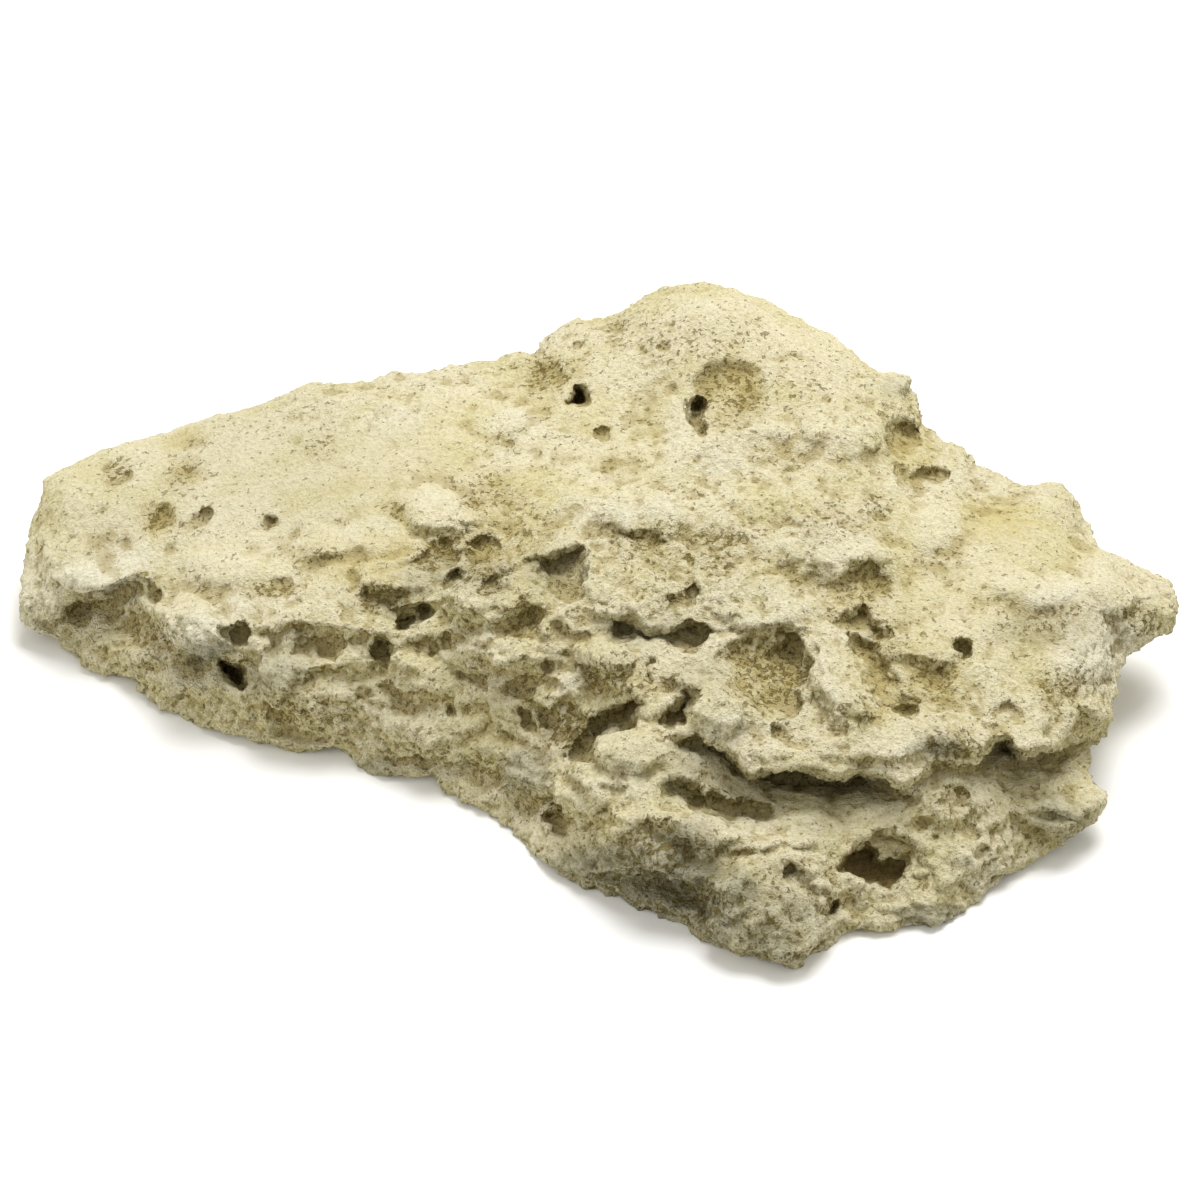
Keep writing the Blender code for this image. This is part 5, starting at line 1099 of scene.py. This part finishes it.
class Worked:
    """A value in a material's node tree, on which Python's arithmetic adds Math nodes."""

    def __init__(self, finish, socket):
        self.finish = finish
        self.socket = socket

    def math(self, operation, *values, clamp=False):
        """One Math node on the given values."""
        settings = {"operation": operation, "use_clamp": clamp}
        return self.finish.node("ShaderNodeMath", settings, dict(enumerate(values)))

    def __add__(self, other):
        return self.math("ADD", self, other)

    def __sub__(self, other):
        return self.math("SUBTRACT", self, other)

    def __rsub__(self, other):
        return self.math("SUBTRACT", other, self)

    def __mul__(self, other):
        return self.math("MULTIPLY", self, other)

    __radd__ = __add__
    __rmul__ = __mul__

    def held(self):
        """Between 0 and 1."""
        return self.math("ADD", self, 0, clamp=True)

    def between(self, low, high):
        """0 at low and 1 at high, held outside them."""
        settings = {"interpolation_type": "SMOOTHSTEP"}
        values = {"Value": self, "From Min": low, "From Max": high}
        return self.finish.node("ShaderNodeMapRange", settings, values)


class Finish:
    """One material's node tree, with one method that adds any node."""

    def __init__(self, name):
        self.material = bpy.data.materials.new(name)
        self.material.use_nodes = True
        self.tree = self.material.node_tree
        self.shader = self.tree.nodes["Principled BSDF"]

    def node(self, kind, settings, values, output=0):
        """Adds a node of a kind, makes its settings, then feeds its sockets by name or number."""
        made = self.tree.nodes.new(kind)
        for name, setting in settings.items():
            setattr(made, name, setting)
        for name, value in values.items():
            self.feed(made.inputs[name], value)
        return Worked(self, made.outputs[output])

    def feed(self, socket, value):
        """Links a worked value to the socket, or sets the socket to a number or a colour."""
        if isinstance(value, Worked):
            self.tree.links.new(value.socket, socket)
        elif isinstance(value, tuple):
            socket.default_value = (*value, 1)
        else:
            socket.default_value = value

    def blend(self, share, first, second, mode="MIX"):
        """From the first colour to the second by share."""
        settings = {"data_type": "RGBA", "blend_type": mode}
        return self.node("ShaderNodeMix", settings, {0: share, 6: first, 7: second}, output=2)

    def noise(self, place, size, detail, rough):
        """Noise from 0 to 1 whose swells are about size metres."""
        values = {"Vector": place, "Scale": 1 / size, "Detail": detail, "Roughness": rough}
        return self.node("ShaderNodeTexNoise", {}, values)

    def attribute(self, name):
        """The number that the mesh holds at each point under this name."""
        return self.node("ShaderNodeAttribute", {"attribute_name": name}, {}, "Fac")


def limestone():
    """Cream blended by noise with the other colours, then darkened by painted shade between the grains,
    with a grain bump.

    Pores open where a noise passes an edge, which is lower where the stone is denser with them; they are
    painted dark as shade. The painted grain shade multiplies the stone's colour where three fine noises are
    low, most on rough skin.
    """
    finish = Finish("reef_limestone")
    place = finish.node("ShaderNodeTexCoord", {}, {}, "Object")
    pit, bowl, sunk, rough, sheer = map(finish.attribute, ("pit", "bowl", "sunk", "rough", "sheer"))
    chalk_and_light, ochre, painted_shade, stipple = map(finish.attribute, ("chalk_and_light", "ochre", "painted_shade", "stipple"))

    cloud = finish.noise(place, 0.030, detail=4, rough=0.6)
    mottle = finish.noise(place, 0.006, detail=4, rough=0.65)
    speck = finish.noise(place, 0.0024, detail=3, rough=0.7)
    grain = finish.noise(place, 0.0015, detail=2, rough=0.7)
    fine = finish.noise(place, 0.0007, detail=1, rough=0.6)

    ripple = finish.noise(place, 0.002, detail=1, rough=0.5)
    bent = finish.node("ShaderNodeVectorMath", {"operation": "SCALE"}, {0: ripple, "Scale": 0.0012})
    warped = finish.node("ShaderNodeVectorMath", {"operation": "ADD"}, {0: place, 1: bent})
    thick = finish.noise(place, 0.008, detail=4, rough=0.65)
    hollow = 0.5 * bowl.between(0.50, 0.80) + 0.5 * pit.between(0.50, 0.85)
    dense = (2.2 * thick - 0.88) * (0.4 + 0.7 * rough) + 0.8 * stipple + 0.35 * hollow
    dense = (dense + 0.25 * sheer - 0.3 * chalk_and_light).held()
    dots = finish.noise(warped, 0.0019, detail=2, rough=0.6)
    edge = 0.67 - 0.145 * dense
    pore_with_shade = dots.between(edge, edge + 0.05) * (0.6 + 0.4 * dense)

    colour = finish.blend(0.6 * cloud.between(0.40, 0.64), CREAM, BUFF)
    colour = finish.blend(0.3 * rough * mottle.between(0.35, 0.7), colour, BUFF)
    # Painted shade: steep faces turn buff, partly the raw stone under the worn top.
    colour = finish.blend(0.7 * sheer.between(0.25, 0.9), colour, BUFF)
    # Chalk on the white lumps, and painted light on faces that lie in shade.
    colour = finish.blend((chalk_and_light * mottle.between(0.2, 0.55)).held(), colour, CHALK_AND_HIGHLIGHT)
    colour = finish.blend((0.6 * ochre * (0.5 + mottle)).held(), colour, OCHRE)
    # Painted shade: stippled zones darker olive from their many pores.
    colour = finish.blend((0.28 * stipple * mottle.between(0.2, 0.6)).held(), colour, OLIVE)
    # Painted shade: olive in the hollows and dents, by how far they lie under their neighbours.
    colour = finish.blend(0.35 * bowl.between(0.52, 0.9), colour, OLIVE)
    colour = finish.blend(0.4 * pit.between(0.53, 0.9), colour, OLIVE)
    # Painted shade: ochre, then dark brown, down the deepest pits.
    colour = finish.blend(0.35 * sunk.between(0.1, 0.6), colour, OCHRE)
    colour = finish.blend(0.7 * sunk.between(0.5, 0.9), colour, DEEP_PIT_SHADE)
    # Painted shade: grey in the shade patches.
    colour = finish.blend((0.8 * painted_shade * (0.45 + mottle)).held(), colour, SHADE_GREY)
    # Paler on the ridges: rubbed wear, and a painted highlight on the crests.
    colour = finish.blend(0.25 * (1 - pit.between(0.05, 0.45)), colour, CHALK_AND_HIGHLIGHT)
    colour = finish.blend(0.25 * rough * speck.between(0.52, 0.68), colour, OLIVE)
    # Painted shade: dark olive in the pores.
    colour = finish.blend(0.85 * pore_with_shade, colour, PORE_SHADE)

    # Painted shade between the grains, most on rough, steep and stippled skin.
    grain_shade = 1.50 - 0.45 * fine.between(0.32, 0.62) - 0.75 * grain.between(0.34, 0.60)
    grain_shade = grain_shade - 0.35 * speck.between(0.34, 0.56)
    coarse = 0.24 + 0.30 * rough + 0.18 * sheer + 0.3 * stipple
    shaded = finish.blend((grain_shade * coarse).held(), (1.0, 1.0, 1.0), GRAIN_SHADE)
    colour = finish.blend(1.0, colour, shaded, mode="MULTIPLY")
    finish.feed(finish.shader.inputs["Base Color"], colour)
    finish.shader.inputs["Roughness"].default_value = 0.95
    finish.shader.inputs["Specular IOR Level"].default_value = 0.2

    # The bump: ridges of the noises up to about a millimetre, with the pores sunk.
    height = grain * 0.8 + fine * 0.35 + speck * (0.5 + 1.5 * rough) - pore_with_shade * 0.8
    bump = finish.node("ShaderNodeBump", {}, {"Strength": 1.0, "Distance": 0.0011, "Height": height})
    finish.feed(finish.shader.inputs["Normal"], bump)
    return finish.material


stone.data.materials.clear()
stone.data.materials.append(limestone())
stone.data.shade_smooth()
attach(stone, "root")
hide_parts("shelf_rock")


# The studio. A plain pale floor lies under the stone. A large soft light stands high behind on the
# right, with a weak one low on each side and an evenly bright, faintly warm sky.
FLOOR_SIDE = 8.0
FLOOR_COLOUR = (0.93, 0.93, 0.93)


def studio_floor():
    """One square round the origin, at the height of the table."""
    half = FLOOR_SIDE / 2
    corners = [(-half, -half, 0), (half, -half, 0), (half, half, 0), (-half, half, 0)]
    mesh = bpy.data.meshes.new("floor")
    mesh.from_pydata(corners, [], [(0, 1, 2, 3)])
    finish = Finish("pale_floor")
    finish.shader.inputs["Base Color"].default_value = (*FLOOR_COLOUR, 1)
    finish.shader.inputs["Roughness"].default_value = 0.9
    finish.shader.inputs["Specular IOR Level"].default_value = 0.1
    mesh.materials.append(finish.material)
    return placed("floor", mesh)


studio_floor()

# Name, place in metres, width in metres, watts.
LIGHTS = [
    ("high_back_right", (0.3, 0.85, 1.9), 1.2, 46),
    ("left", (-1.6, -0.6, 0.35), 1.0, 9),
    ("right", (1.7, -0.7, 0.5), 1.0, 3.5),
]
LIGHTS_AIM = (0, 0, 0.03)
SKY_COLOUR = (1, 0.978, 0.91)
SKY_STRENGTH = 0.65


def point_at(thing, place, target):
    """Stands the thing at place, turned so that its -Z looks to target."""
    thing.location = Vector(place)
    thing.rotation_euler = (Vector(target) - Vector(place)).to_track_quat("-Z", "Y").to_euler()


for name, place, width, watts in LIGHTS:
    lamp = bpy.data.lights.new(name, "AREA")
    lamp.size = width
    lamp.energy = watts
    point_at(placed(name, lamp), place, LIGHTS_AIM)

sky = bpy.data.worlds.new("studio")
bpy.context.scene.world = sky
sky.use_nodes = True
glow = sky.node_tree.nodes["Background"]
glow.inputs["Color"].default_value = (*SKY_COLOUR, 1)
glow.inputs["Strength"].default_value = SKY_STRENGTH
bpy.context.scene.view_settings.view_transform = "Standard"


# The camera stands at the sight point, and the middle of its frame is one millimetre up from the aim
# point. The frame is as wide as 400 mm at the aim point.
FRAME_WIDTH = 400.0
SENSOR = 36.0
UP_SHIFT = 1.0

eye = bpy.data.cameras.new("camera")
eye.sensor_width = SENSOR
eye.lens = SENSOR * SIGHT_DISTANCE / FRAME_WIDTH
eye_holder = placed("camera", eye)
sight_point = from_sight(0.0, 0.0, SIGHT_DISTANCE)
point_at(eye_holder, in_row(sight_point), in_row(from_sight(0.0, UP_SHIFT, 0.0)))
bpy.context.scene.camera = eye_holder
